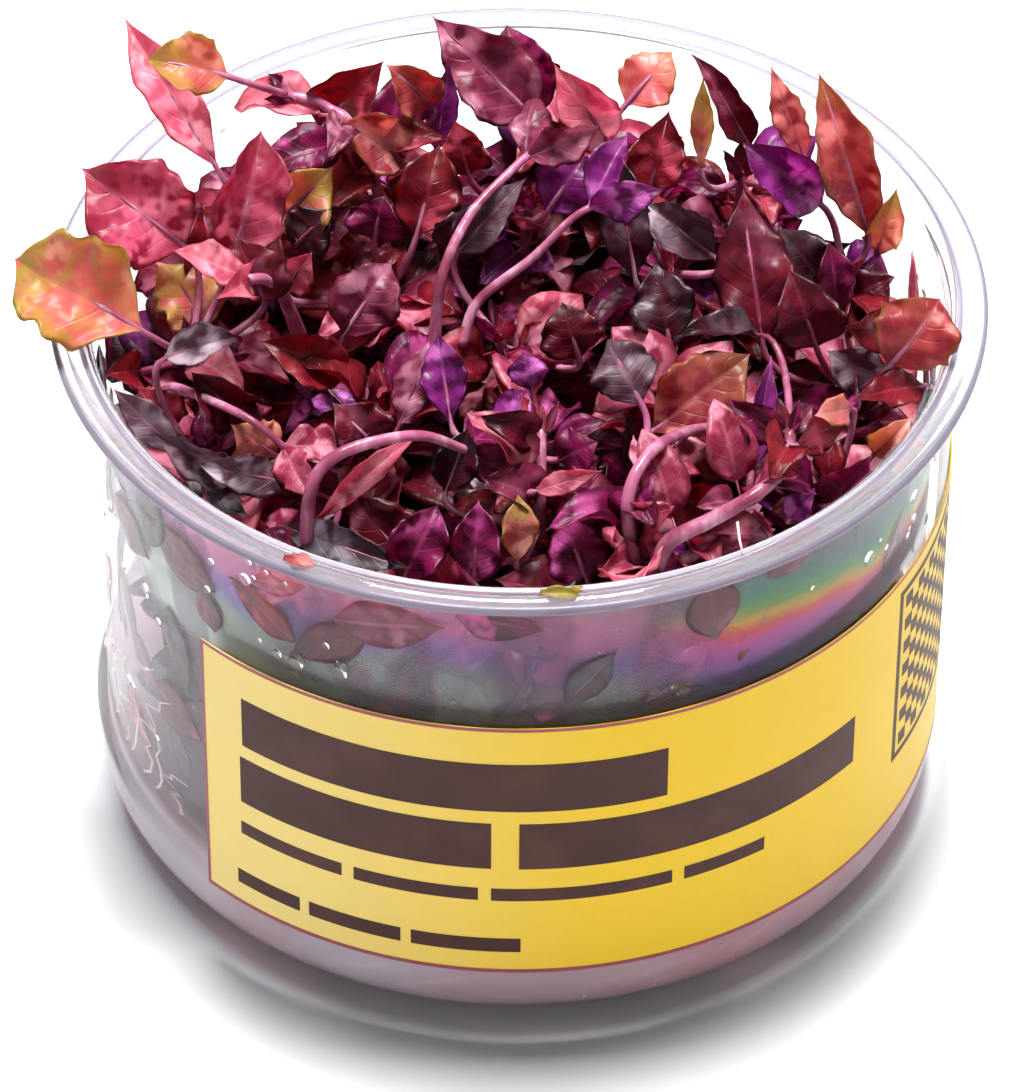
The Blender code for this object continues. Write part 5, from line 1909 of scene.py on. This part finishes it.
    def fillers(self) -> None:
        """Fill the space between the leaves that have solids with small leaves on the stems."""
        pattern = self.pattern()
        pick = random.Random(7791)
        lines = {name: route(STEMS[name], 1.0) for name in STEMS}
        found: dict[str, list[SmallLeaf]] = {name: [] for name in lines}
        for number, (name, line) in enumerate(lines.items()):
            reach, whorl = self.fill_low, 0
            while reach < line[-1].z - 0.5:
                spot = min(line, key=lambda p: abs(p.z - reach))
                for side in range(self.fill_whorl):
                    turned = math.radians(70 * whorl + 37 * number)
                    bearing = math.tau * side / self.fill_whorl + turned
                    found[name] += self.whorl_leaf(pick, name, spot, bearing)
                whorl += 1
                reach += self.fill_gap
        for _ in range(self.fill_extra):
            angle, out = pick.uniform(0, math.tau), self.fill_reach * pick.random() ** 0.5
            z = pick.uniform(*self.fill_heights)
            target = Vector((math.cos(angle) * out, math.sin(angle) * out, z))
            name, spot = self.nearest_spot(lines, target)
            if self.fill_lengths[0] < (target - spot).length < self.fill_lengths[1]:
                found[name] += self.leaf_to(pick, name, spot, target)
        self.close_gaps(pick, lines, found)
        for name, leaves in found.items():
            self.fill(name, leaves, pattern)
        bpy.data.objects.remove(pattern, do_unlink=True)
        LOG.info("%d small leaves between the solids' leaves", sum(map(len, found.values())))

    @staticmethod
    def nearest_spot(lines: dict[str, list[Vector]], target: Vector) -> tuple[str, Vector]:
        """The stem and the spot on it that lie nearest to a target, from below."""
        return min(
            ((name, p) for name, line in lines.items() for p in line if p.z < target.z + 2),
            key=lambda pair: (pair[1] - target).length)

    def close_gaps(
        self, pick: random.Random, lines: dict[str, list[Vector]], found: dict[str, list[SmallLeaf]]
    ) -> None:
        """Add leaves where the viewer would see through the canopy.

        Args:
            pick: the random draws.
            lines: each stem's points.
            found: the leaves of each stem, to add to.
        """
        for x, y in GAPS:
            closed = 0
            for _ in range(GAP_TRIES):
                z = pick.uniform(42, 60)
                seen = Vector((x + pick.uniform(-1, 1), y - (z - GAP_HEIGHT) * SIGHT_SLOPE, z))
                name, spot = self.nearest_spot(lines, seen)
                away = seen - spot
                if closed < GAP_LEAVES and 3.0 < away.length < self.fill_lengths[1]:
                    leaves = self.leaf_to(pick, name, spot, seen + away.normalized() * 2.5)
                    found[name] += leaves
                    closed += len(leaves)

    def whorl_leaf(
        self, pick: random.Random, name: str, spot: Vector, bearing: float
    ) -> list[SmallLeaf]:
        """A small leaf near a bearing, from a few tries, or nothing where all are taken."""
        for _ in range(6):
            angle = bearing + pick.uniform(-0.6, 0.6)
            rise = math.radians(pick.uniform(-5, 55))
            flat = math.cos(rise)
            aim = Vector((math.cos(angle) * flat, math.sin(angle) * flat, math.sin(rise)))
            leaf = self.leaf_to(pick, name, spot, spot + aim * pick.uniform(7.0, 13.5))
            if leaf:
                return leaf
        return []

    def leaf_to(self, pick: random.Random, name: str, spot: Vector, tip: Vector) -> list[SmallLeaf]:
        """A small leaf from a spot on a stem to its tip, or nothing where that isn't free."""
        low, high = (Vector(corner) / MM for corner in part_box(f"plantlet_{name}"))
        length = (tip - spot).length
        width = min(self.fill_widest, length * pick.uniform(0.42, 0.66))
        face = Vector((pick.uniform(-0.6, 0.6), pick.uniform(-0.9, 0.2), 1.0))
        size = Vector((length, width, length * pick.uniform(0.5, 1.4)))
        hue = pick.choice(FILL_HUES if spot.z > self.deep_below else DEEP_HUES)
        inside = all(low[k] - 6.0 <= tip[k] <= high[k] + 2.0 for k in range(3))
        if not inside or math.hypot(tip.x, tip.y) > self.fill_reach:
            return []
        if not self.free(name, spot, tip, width):
            return []
        return [SmallLeaf(spot, (tip - spot) / length, face, size, hue)]

    def free(self, name: str, spot: Vector, tip: Vector, width: float) -> bool:
        """Whether a small leaf misses the cup and the leaves that have solids."""
        place = Place(spot.lerp(tip, 0.25), tip, width * 0.7, (tip - spot).length * 0.1, 0)
        points, faces = place.coarse(spot, name)
        return self.canopy.clear(points, faces, name)

    def fill(self, name: str, found: list[SmallLeaf], pattern: bpy.types.Object) -> None:
        """Make one stem's small leaves, a group for each hue."""
        shell = Shell()
        skins = []
        for hue in in_order(leaf.hue for leaf in found):
            leaves = [leaf for leaf in found if leaf.hue is hue]
            mesh = bpy.data.meshes.new("spots")
            mesh.from_pydata([tuple(leaf.spot * MM) for leaf in leaves], [], [])
            for key, scale in (("aim", 1.0), ("face", 1.0), ("size", MM)):
                layer = mesh.attributes.new(key, "FLOAT_VECTOR", "POINT")
                numbers = [n for leaf in leaves for n in getattr(leaf, key) * scale]
                layer.data.foreach_set("vector", numbers)
            skin = self.workshop.leaf[hue][0]
            grown = self.workshop.trees.leafed.run(mesh, {"Pattern": pattern, "Skin": skin})
            shell.take(grown, len(skins))
            skins.append(skin)
        if shell.points:
            fit(shell.piece(f"{name}_small_leaves", skins), "stem")


# The radius of the ring that turned shells are swept along, and segments of those inside the cup
TURNED_RING = 30.0
INNER_SEGMENTS = 160
# The foot's dome, as radii and shares of its rise, and the inner floor, as radii and rises
FOOT_DOME = ((0, 1.0), (12, 1.0), (24, 0.96), (32, 0.6))
INNER_FLOOR = ((30, 0.04), (18, 0.3), (8, 0.4), (0, 0.4))
# Heights of the wall's rings outside and inside, the top ones under the flange
OUTER_RINGS = (20, 32, 44, 56, 62.4)
INNER_RINGS = (59.6, 52, 42, 32, 20)
# The rim's fine lines: outer radius, a third of its width and depth
RIM_LINES = ((48.95, 0.15, 0.1), (47.35, 0.15, 0.12))
# Heights of the film of damp's rings
DAMP_RINGS = (14.4, 30, 46, 62.8)


@dataclass
class Cup:
    """The clear cup: a domed foot, a rounded corner, a tapered wall and a flange.

    Attributes:
        height, rim, flange, mouth: over all, the rim's radius, its thickness and its inner radius.
        wall_top, wall_foot, wall: outer radius at the top and at the foot, and thickness.
        corner, dome: radius of the foot's corner, and rise of its middle.
        segments: round the axis.
        damp_gap, damp: the film's distance from the wall, and its thickness.
    """

    height: float = 65.0
    rim: float = 50.0
    flange: float = 1.3
    mouth: float = 46.5
    wall_top: float = 46.8
    wall_foot: float = 46.3
    wall: float = 1.2
    corner: float = 8.0
    dome: float = 0.5
    segments: int = 240
    damp_gap: float = 0.78
    damp: float = 0.06

    def radius(self, height: float) -> float:
        """Outer radius of the wall, which has a slight draft."""
        share = (height - self.corner) / (self.height - self.corner)
        return self.wall_foot + (self.wall_top - self.wall_foot) * share

    def inner(self, height: float) -> float:
        """Inner radius of the wall."""
        return self.radius(height) - self.wall

    @staticmethod
    def arc(centre: Pair, radius: float, start: float, end: float, steps: int) -> Outline:
        """Points (r, z) on an arc about centre, from one angle in degrees to another."""
        turns = [math.radians(start + (end - start) * k / steps) for k in range(steps + 1)]
        return [(centre[0] + radius * math.cos(a), centre[1] + radius * math.sin(a)) for a in turns]

    def profile(self) -> Outline:
        """The cup's outline from the middle of its foot, round the rim, to its inner floor."""
        foot, top, mouth = self.wall_foot - self.corner, self.height, self.mouth
        under = top - self.flange
        outline = [(r, self.dome * share) for r, share in FOOT_DOME] + [(35.5, 0.06), (foot - 1.0, 0)]
        outline += self.arc((foot, self.corner), self.corner, -90, 0, 14)
        outline += [(self.radius(z), z) for z in OUTER_RINGS]
        neck = self.radius(63)
        outline += [(self.radius(62.9) + 0.1, 63.2), (neck + 0.35, 63.55), (neck + 0.8, under)]
        outline += [(48.2, under + 0.02), (48.9, under + 0.02)]
        outline += self.arc((self.rim - 0.5, top - 0.62), 0.5, -78, 80, 9)
        for at, third, depth in RIM_LINES:
            dips = ((0, 0.0), (1, depth), (2, depth), (3, 0.0))
            outline += [(at - third * k, top - dip) for k, dip in dips]
        outline += [(mouth + 0.12, top), (mouth - 0.1, top - 0.12), (mouth - 0.3, top - 0.5)]
        outline += [(self.inner(63.4) + 0.2, 64.0), (self.inner(63) + 0.02, 63.4)]
        outline += [(self.inner(z), z) for z in (61.6, 61.2)]
        outline += [(self.inner(60.6) - 0.12, 60.8), (self.inner(60) - 0.12, 60.2)]
        outline += [(self.inner(z), z) for z in INNER_RINGS]
        outline += self.arc((foot, self.corner), self.corner - self.wall, 0, -90, 12)
        return outline + [(r, self.wall + rise) for r, rise in INNER_FLOOR]

    def make(self, workshop: Workshop) -> None:
        """Make the cup in place of its solid."""
        skin = ClearFinish().coat()
        fit_mesh("clear_cup", turn(workshop, self.profile(), self.segments, skin), skin, "cup", "cup")

    def film(self) -> Outline:
        """The outline of the film of damp, once round."""
        outer = [(self.inner(z) - self.damp_gap, z) for z in DAMP_RINGS]
        return [*outer, *((r - self.damp, z) for r, z in reversed(outer)), outer[0]]

    def make_film(self, workshop: Workshop) -> None:
        """Make the film of damp just inside the wall."""
        skin = DampFinish().coat()
        fit_mesh("damp_film", turn(workshop, self.film(), INNER_SEGMENTS, skin), skin, "cup")


def turn(workshop: Workshop, profile: Outline, segments: int, skin: Skin) -> bpy.types.Mesh:
    """A shell turned about Z.

    Args:
        workshop: what holds the tree that turns it.
        profile: its outline as (radius, height) in millimetres, from axis to axis or once round.
        segments: the number of segments round it.
        skin: its material.

    Returns:
        The mesh, in metres.
    """
    chain = bpy.data.meshes.new("outline")
    points = [((r - TURNED_RING) * MM, -z * MM, 0.0) for r, z in profile]
    chain.from_pydata(points, [(k, k + 1) for k in range(len(points) - 1)], [])
    values = {"Segments": segments, "Ring": TURNED_RING * MM, "Skin": skin}
    return workshop.trees.turned.run(chain, values)


# The gel's top: distances in from the wall and rises, then radii and dips
GEL_EDGE = ((0.35, 0.5), (0.9, 0.18), (2, 0.0))
GEL_FACE = ((38, 0.1), (24, 0.0), (12, 0.15), (0, 0.0))


@dataclass
class Gel:
    """The set gel in the cup's foot, drawn up a little where it meets the wall."""

    cup: Cup
    top: float = GEL_TOP
    meniscus: float = 0.9
    overlap: float = 0.03

    def profile(self) -> Outline:
        """The gel's outline from the middle of its foot to the middle of its top."""
        foot = self.cup.wall_foot - self.cup.corner
        radius = self.cup.corner - self.cup.wall + self.overlap
        outline = [(0, self.cup.wall + 0.38), (18, self.cup.wall + 0.28), (30, self.cup.wall + 0.02)]
        outline += Cup.arc((foot, self.cup.corner), radius, -90, 0, 10)
        edge = self.cup.inner(self.top)
        outline += [(edge + self.overlap, z) for z in (10.5, self.top + self.meniscus)]
        outline += [(edge - inward, self.top + rise) for inward, rise in GEL_EDGE]
        return outline + [(r, self.top - dip) for r, dip in GEL_FACE]

    def make(self, workshop: Workshop) -> None:
        """Make the gel in place of its solid."""
        skin = GelFinish().coat()
        fit_mesh("set_gel", turn(workshop, self.profile(), INNER_SEGMENTS, skin), skin, "gel", "gel")


# Rows of the label's bars: lower and upper edge, left azimuth, bar lengths and gap in degrees
LABEL_ROWS = (
    (33.6, 40.4, -38.0, (58.0,), 3.6),
    (25.2, 31.8, -38.5, (35.5, 50.0), 3.6),
    (20.5, 22.3, -38.6, (15.5, 16.7, 24.0, 12.0), 1.7),
    (12.9, 14.9, -39.4, (10.0, 13.0, 14.5), 1.4),
)
# The panel's azimuths and heights, its line's width in degrees and in millimetres, and its squares
LABEL_PANEL = ((60.5, 90.5), (18.7, 43.4))
PANEL_LINE = (0.9, 0.75)
PANEL_SQUARES = 13
# The widths of the lines along the label's top, its left end and its foot
EDGE_LINES = (0.45, 0.5, 0.5)
# How many degrees each flat strip of the label's curve spans at most
LABEL_STRIP = 1.2


@dataclass
class Label:
    """The yellow film round the wall, with plain brown bars and a plain chequered panel."""

    cup: Cup
    low: float = 9.8
    high: float = 45.5
    start: float = -45.0
    end: float = 99.0
    stand: float = 0.12
    thickness: float = 0.14
    ink: float = 0.03

    def spot(self, degrees: float, height: float, out: float) -> Vector:
        """A point on the label, out millimetres from the wall."""
        radius = self.cup.radius(height) + self.stand + out
        return round_axis_spot(math.radians(degrees), radius, height)

    def mark(self, degrees: float, height: float) -> Pair:
        """The UV place of a point on the label."""
        across = (degrees - self.start) / (self.end - self.start)
        return across, (height - self.low) / (self.high - self.low)

    def patch(
        self, shell: Shell, slot: int, across: Pair, up: Pair, out: float, thick: float
    ) -> None:
        """Add a thin curved slab.

        Args:
            shell: the piece.
            slot: the slab's finish.
            across: its two ends, in degrees.
            up: its lower and upper edge.
            out: how far it stands from the label's inner side.
            thick: its thickness.
        """
        left, right = across
        columns = max(1, math.ceil((right - left) / LABEL_STRIP))
        points, marks, faces = [], [], []
        for k in range(columns + 1):
            degrees = left + (right - left) * k / columns
            for height in up:
                points += [self.spot(degrees, height, depth) for depth in (out, out + thick)]
                marks += [self.mark(degrees, height)] * 2
        for k in range(columns):
            a, b = 4 * k, 4 * k + 4
            faces += [(a, a + 1, b + 1, b), (a + 2, b + 2, b + 3, a + 3)]
            faces += [(a, b, b + 2, a + 2), (a + 1, a + 3, b + 3, b + 1)]
        last = 4 * columns
        faces += [(0, 2, 3, 1), (last, last + 1, last + 3, last + 2)]
        shell.add(points, faces, marks, [slot] * len(faces))

    def bars(self, shell: Shell) -> None:
        """Rows of plain bars, each row as tall as its own measure and cut at its own pitch."""
        for low, high, left, lengths, gap in LABEL_ROWS:
            at = left
            for length in lengths:
                self.patch(shell, 1, (at, at + length), (low, high), self.thickness, self.ink)
                at += length + gap

    def panel(self, shell: Shell) -> None:
        """A plain frame round a regular chequer of small squares."""
        (left, right), (low, high) = LABEL_PANEL
        across, up = PANEL_LINE
        count = PANEL_SQUARES
        wide, tall = (right - left - 4 * across) / count, (high - low - 4 * up) / count
        slabs = [
            ((left, right), (low, low + up)), ((left, right), (high - up, high)),
            ((left, left + across), (low, high)), ((right - across, right), (low, high)),
        ]
        for row in range(count):
            for column in range(row % 2, count, 2):
                x, z = left + 2 * across + column * wide, low + 2 * up + row * tall
                slabs.append(((x, x + wide), (z, z + tall)))
        for slab in slabs:
            self.patch(shell, 1, *slab, self.thickness, self.ink)

    def make(self) -> None:
        """Make the label in place of its solid."""
        finish = LabelFinish()
        shell = Shell()
        whole, tall = (self.start, self.end), (self.low, self.high)
        self.patch(shell, 0, whole, tall, 0.0, self.thickness)
        self.bars(shell)
        self.panel(shell)
        top, left, foot = EDGE_LINES
        for slab in (
            (whole, (self.high - top, self.high)), ((self.start, self.start + left), tall),
            (whole, (self.low, self.low + foot)),
        ):
            self.patch(shell, 2, *slab, self.thickness, self.ink)
        obj = shell.piece("yellow_label", [finish.film(), finish.print_(), finish.rule()])
        obj.data.shade_flat()
        fit(obj, "label", "label")


# Height that the roots start from, and the sides of a root's round tube
ROOTS_START = 10.0
ROOT_SIDES = 5
# Roots on the wall: azimuth in degrees, lower end and rise
WALL_ROOTS = (
    (-62, 13, 16), (-66, 12, 11), (-70, 12.5, 19), (-74, 12, 9), (-79, 13, 13), (-58, 12, 7),
    (12, 4, 8), (17, 5, 7), (22, 4, 8.5), (27, 5.5, 6), (33, 4.5, 8), (-12, 5, 7), (-24, 5, 6),
)


@dataclass
class Roots:
    """Fine pale roots in the gel, and a few that lie against the wall.

    Attributes:
        cup: the cup.
        workshop: the finishes and trees.
        each: roots in the gel from each stem.
        thickness: a root's radius where it starts.
        reach: how far from the axis a root in the gel may run.
        step: the length of one step of it.
        bends: points of a root on the wall.
    """

    cup: Cup
    workshop: Workshop
    each: int = 5
    thickness: float = 0.17
    reach: float = 42.0
    step: float = 1.1
    bends: int = 12

    def make(self) -> None:
        """Make all the roots, one piece."""
        pick = random.Random(31)
        threads = []
        for points in STEMS.values():
            start = Vector((points[0][0], points[0][1], ROOTS_START))
            for _ in range(self.each):
                aside = Vector((pick.uniform(-1, 1), pick.uniform(-1, 1), pick.uniform(-3, 2)))
                threads.append(self.wander(pick, start + aside))
        for azimuth, height, rise in WALL_ROOTS:
            threads.append(self.climb(pick, azimuth, height, rise))
        skin = root_skin()
        fit_mesh("roots", self.workshop.sweep(threads, ROOT_SIDES, skin), skin, "gel")

    def wander(self, pick: random.Random, start: Vector) -> Thread:
        """A root that wanders out and down through the gel."""
        heading = pick.uniform(0, math.tau)
        here, points = start, []
        for _ in range(pick.randint(9, 15)):
            points.append(here)
            heading += pick.uniform(-0.5, 0.5)
            sink = pick.uniform(-0.75, 0.15)
            move = Vector((math.cos(heading) * self.step, math.sin(heading) * self.step, sink))
            here = here + move
            here.z = max(2.0, here.z)
            back = min(1.0, self.reach / math.hypot(here.x, here.y))
            here.x, here.y = here.x * back, here.y * back
        count = len(points)
        return Thread(points, [self.thickness * (1 - 0.6 * k / count) for k in range(count)])

    def climb(self, pick: random.Random, azimuth: float, height: float, rise: float) -> Thread:
        """A root that lies on the inside of the wall."""
        points = []
        for k in range(self.bends):
            sway = 3.0 * math.sin(k * 0.6 + height)
            angle = math.radians(azimuth + sway + k * pick.uniform(0.2, 0.9))
            z = height + rise * k / (self.bends - 1)
            corner = self.cup.corner
            radius = self.cup.inner(max(z, corner)) - 0.3 - max(0.0, corner - z) * 0.25
            points.append(round_axis_spot(angle, radius, z))
        return Thread(points, [0.2 - 0.01 * k for k in range(self.bends)])


def root_skin() -> Skin:
    """The roots' material: pale, faintly pink."""
    paint = Paint("root_skin")
    colour = paint.mix(paint.noise(260.0, 2.0), (0.86, 0.74, 0.70), (0.80, 0.52, 0.56))
    return paint.finish(paint.surface(colour, 0.4))


# Clusters of drops: azimuth in degrees, height, spread, count and the largest radius
DROP_CLUSTERS = (
    (-28, 49, 3, 10, 0.9), (24, 46.7, 2, 4, 0.8), (-36, 57, 3, 7, 0.7), (65, 48.5, 5, 9, 0.8),
    (-60, 40, 12, 22, 0.6), (-85, 35, 14, 22, 0.6), (0, 52, 16, 16, 0.5), (150, 42, 40, 40, 0.6),
)
# The heights between which drops stand
DROP_LOW = 15.5
DROP_HIGH = 61.0


@dataclass
class Drops:
    """Drops of water on the inside of the wall."""

    cup: Cup
    workshop: Workshop

    def make(self) -> None:
        """Make all the drops, one piece."""
        pick = random.Random(57)
        spots = []
        for azimuth, height, spread, count, largest in DROP_CLUSTERS:
            for _ in range(count):
                angle = math.radians(azimuth + pick.gauss(0, spread))
                z = min(DROP_HIGH, max(DROP_LOW, height + pick.gauss(0, spread * 0.8)))
                size = largest * pick.uniform(0.25, 1.0) ** 1.5
                spots.append((angle, z, size))
        mesh = bpy.data.meshes.new("spots")
        places, sizes, away = [], [], []
        for angle, z, size in spots:
            out = round_axis_spot(angle, 1.0, 0.0)
            places.append(tuple((out * self.cup.inner(z) + Vector((0, 0, z))) * MM))
            sizes += [size * MM, size * MM * pick.uniform(1.0, 1.5), size * MM * 0.45]
            away += list(out)
        mesh.from_pydata(places, [], [])
        for key, values in (("size", sizes), ("away", away)):
            mesh.attributes.new(key, "FLOAT_VECTOR", "POINT").data.foreach_set("vector", values)
        skin = water_skin()
        fit_mesh("water_drops", self.workshop.trees.beads.run(mesh, {"Skin": skin}), skin, "cup")


def water_skin() -> Skin:
    """The drops' material."""
    paint = Paint("water")
    normal = paint.bump(paint.noise(600.0, 1.0), 0.05, 0.0001)
    clear = {"Transmission Weight": 1.0, "IOR": 1.33, "Normal": normal}
    return paint.finish(paint.surface(WHITE, 0.0, clear))


# Scraps on the rim: name, base, tip, width, arch and colour
RIM_SCRAPS = (
    ("scrap_front", (2.4, -47.6, 65.25), (6.9, -47.9, 65.3), 1.5, 0.5, "lime"),
    ("scrap_front_short", (5.4, -47.2, 65.2), (7.0, -46.9, 65.5), 0.9, 0.3, "lime"),
    ("scrap_left", (-23.9, -42.4, 65.2), (-20.4, -43.6, 65.3), 1.6, 0.5, "salmon"),
)
DRY_ROOT = ((22.7, -37.2, 65.9), (22.9, -39.4, 65.4), (23.2, -41.2, 65.2))


@dataclass
class Flecks:
    """Torn scraps of leaf and a dry root tip that lie on the rim."""

    cup: Cup
    workshop: Workshop

    def make(self) -> None:
        """Make the scraps, one piece."""
        maker = BladeMaker(thickness=0.15)
        shell = Shell()
        hues = [Hue.LIME, Hue.SALMON]
        for name, base, tip, width, arch, hue in RIM_SCRAPS:
            place = Place(Vector(base), Vector(tip), width, arch, -25.0)
            leaf = Leaf(name, "", Vector(base), place, Hue(hue), Grade.LOW)
            maker.add(leaf, shell, 2 * hues.index(leaf.hue))
        skin = root_skin()
        threads = [Thread([Vector(p) for p in DRY_ROOT], [0.16, 0.14, 0.1])]
        shell.take(self.workshop.sweep(threads, RIB_SIDES, skin), 2 * len(hues))
        fit(shell.piece("rim_scraps", [*self.workshop.both_sides(hues), skin]), "stem")


# The sky: its strength, and how bright it is from straight below, at 0, to straight above, at 1
SKY_STRENGTH = 0.32
SKY_LEVELS = ((0.2, 0.95), (0.5, 0.7), (0.7, 0.55), (0.85, 0.9))
# The lamp: its place, the point that it aims at, its side in metres and its power in watts
LAMP_PLACE = (-0.01, 0.20, 1.15)
LAMP_AIM = (0.0, 0.0, 0.05)
LAMP_SIZE = 0.38
LAMP_POWER = 29.0
# How light is followed: enough for the clear cup, the gel and the film, and no more
LIGHT_PATHS = {
    "use_denoising": True, "max_bounces": 7, "transmission_bounces": 6, "transparent_max_bounces": 12,
    "diffuse_bounces": 1, "glossy_bounces": 2, "use_light_tree": False,
    "caustics_reflective": False, "caustics_refractive": False,
}


@dataclass
class Stage:
    """The pale floor, the soft light and the camera at the photograph's angle.

    Attributes:
        elevation: of the camera, in degrees.
        distance: from the point on the axis that it aims at, in millimetres.
        aim_height: of that point, in millimetres.
        lens, frame_height: of the camera, in millimetres.
        yaw, pitch: turns that aim the camera, in radians.
        roll: about its own axis, in degrees.
        floor_size, floor_drop: side of the floor, and how far it lies below the cup, in metres.
    """

    elevation: float = 41.67322
    distance: float = 900.0
    aim_height: float = 30.0
    lens: float = 271.635
    frame_height: float = 36.0
    yaw: float = -0.00057493
    pitch: float = -0.00065165
    roll: float = 0.40123
    floor_size: float = 3.0
    floor_drop: float = 0.00005

    def floor(self) -> None:
        """Lay the floor under the cup."""
        half = self.floor_size / 2
        mesh = bpy.data.meshes.new("floor")
        signs = ((-1, -1), (1, -1), (1, 1), (-1, 1))
        corners = [(x * half, y * half, -self.floor_drop) for x, y in signs]
        mesh.from_pydata(corners, [], [(0, 1, 2, 3)])
        paint = Paint("pale_floor")
        shade = paint.mix(paint.noise(3.0, 2.0), (0.93, 0.93, 0.935), (0.95, 0.95, 0.95))
        mesh.materials.append(paint.finish(paint.surface(shade, 0.7, {"Specular IOR Level": 0.2})))
        obj = put_in_scene("floor", mesh)

    def sky(self) -> None:
        """A white room, a little darker overhead behind the viewer."""
        world = bpy.data.worlds.new("studio")
        bpy.context.scene.world = world
        world.use_nodes = True
        room = Nodes()
        room.tree = world.node_tree
        room.tree.nodes.clear()
        spot = room.node("ShaderNodeTexCoord", {})
        parts = room.node("ShaderNodeSeparateXYZ", {0: spot.outputs["Generated"]})
        levels = [(at, (level, level * 0.99, level * 1.04)) for at, level in SKY_LEVELS]
        colour = room.ramp(parts.outputs[2], [(0.0, (0.9, 0.9, 0.9)), *levels, (1.0, WHITE)])
        back = room.node("ShaderNodeBackground", {0: colour, 1: SKY_STRENGTH})
        room.node("ShaderNodeOutputWorld", {0: back.outputs[0]})

    def lamp(self, name: str, place: Point, size: float, power: float) -> None:
        """Hang a square soft lamp that points at the cup."""
        light = bpy.data.lights.new(name, "AREA")
        light.shape = "SQUARE"
        light.size = size
        light.energy = power
        obj = put_in_scene(name, light)
        obj.location = place
        aim = Vector(LAMP_AIM) - Vector(place)
        obj.rotation_euler = aim.to_track_quat("-Z", "Y").to_euler()

    def camera(self) -> None:
        """Set the camera where the photograph's ellipses put it."""
        lift = math.radians(self.elevation)
        back = Vector((0, -math.cos(lift), math.sin(lift)))
        right = Vector((1, 0, 0))
        up = right.cross(-back)
        ahead = -back * math.cos(self.yaw) * math.cos(self.pitch)
        ahead += right * math.sin(self.yaw) * math.cos(self.pitch) + up * math.sin(self.pitch)
        ahead.normalize()
        level = ahead.cross(Vector((0, 0, 1))).normalized()
        above = level.cross(ahead)
        roll = math.radians(self.roll)
        right = level * math.cos(roll) + above * math.sin(roll)
        up = above * math.cos(roll) - level * math.sin(roll)
        lens = bpy.data.cameras.new("photograph")
        lens.sensor_fit = "VERTICAL"
        lens.sensor_height = self.frame_height
        lens.lens = self.lens
        obj = put_in_scene("photograph", lens)
        matrix = Matrix((right, up, -ahead)).transposed().to_4x4()
        matrix.translation = (back * self.distance + Vector((0, 0, self.aim_height))) * MM
        obj.matrix_world = matrix
        bpy.context.scene.camera = obj

    def set_up(self) -> None:
        """Set up the floor, the light and the camera."""
        self.floor()
        self.sky()
        self.lamp("overhead_softbox", LAMP_PLACE, LAMP_SIZE, LAMP_POWER)
        self.camera()
        scene = bpy.context.scene
        scene.view_settings.view_transform = "Standard"
        for name, value in LIGHT_PATHS.items():
            setattr(scene.cycles, name, value)


def main() -> None:
    """Build every sub-assembly in order."""
    logging.basicConfig(level=logging.INFO, format="%(name)s: %(message)s")
    Stage().set_up()
    workshop = Workshop()
    cup = Cup()
    canopy = Canopy()
    canopy.grow()
    foliage = Foliage(workshop, canopy)
    foliage.wall_leaves(cup)
    foliage.lone_leaves()
    foliage.plantlets()
    foliage.shoots()
    foliage.fillers()
    cup.make(workshop)
    cup.make_film(workshop)
    Gel(cup).make(workshop)
    Label(cup).make()
    Roots(cup, workshop).make()
    Drops(cup, workshop).make()
    Flecks(cup, workshop).make()


if __name__ == "__main__":
    main()
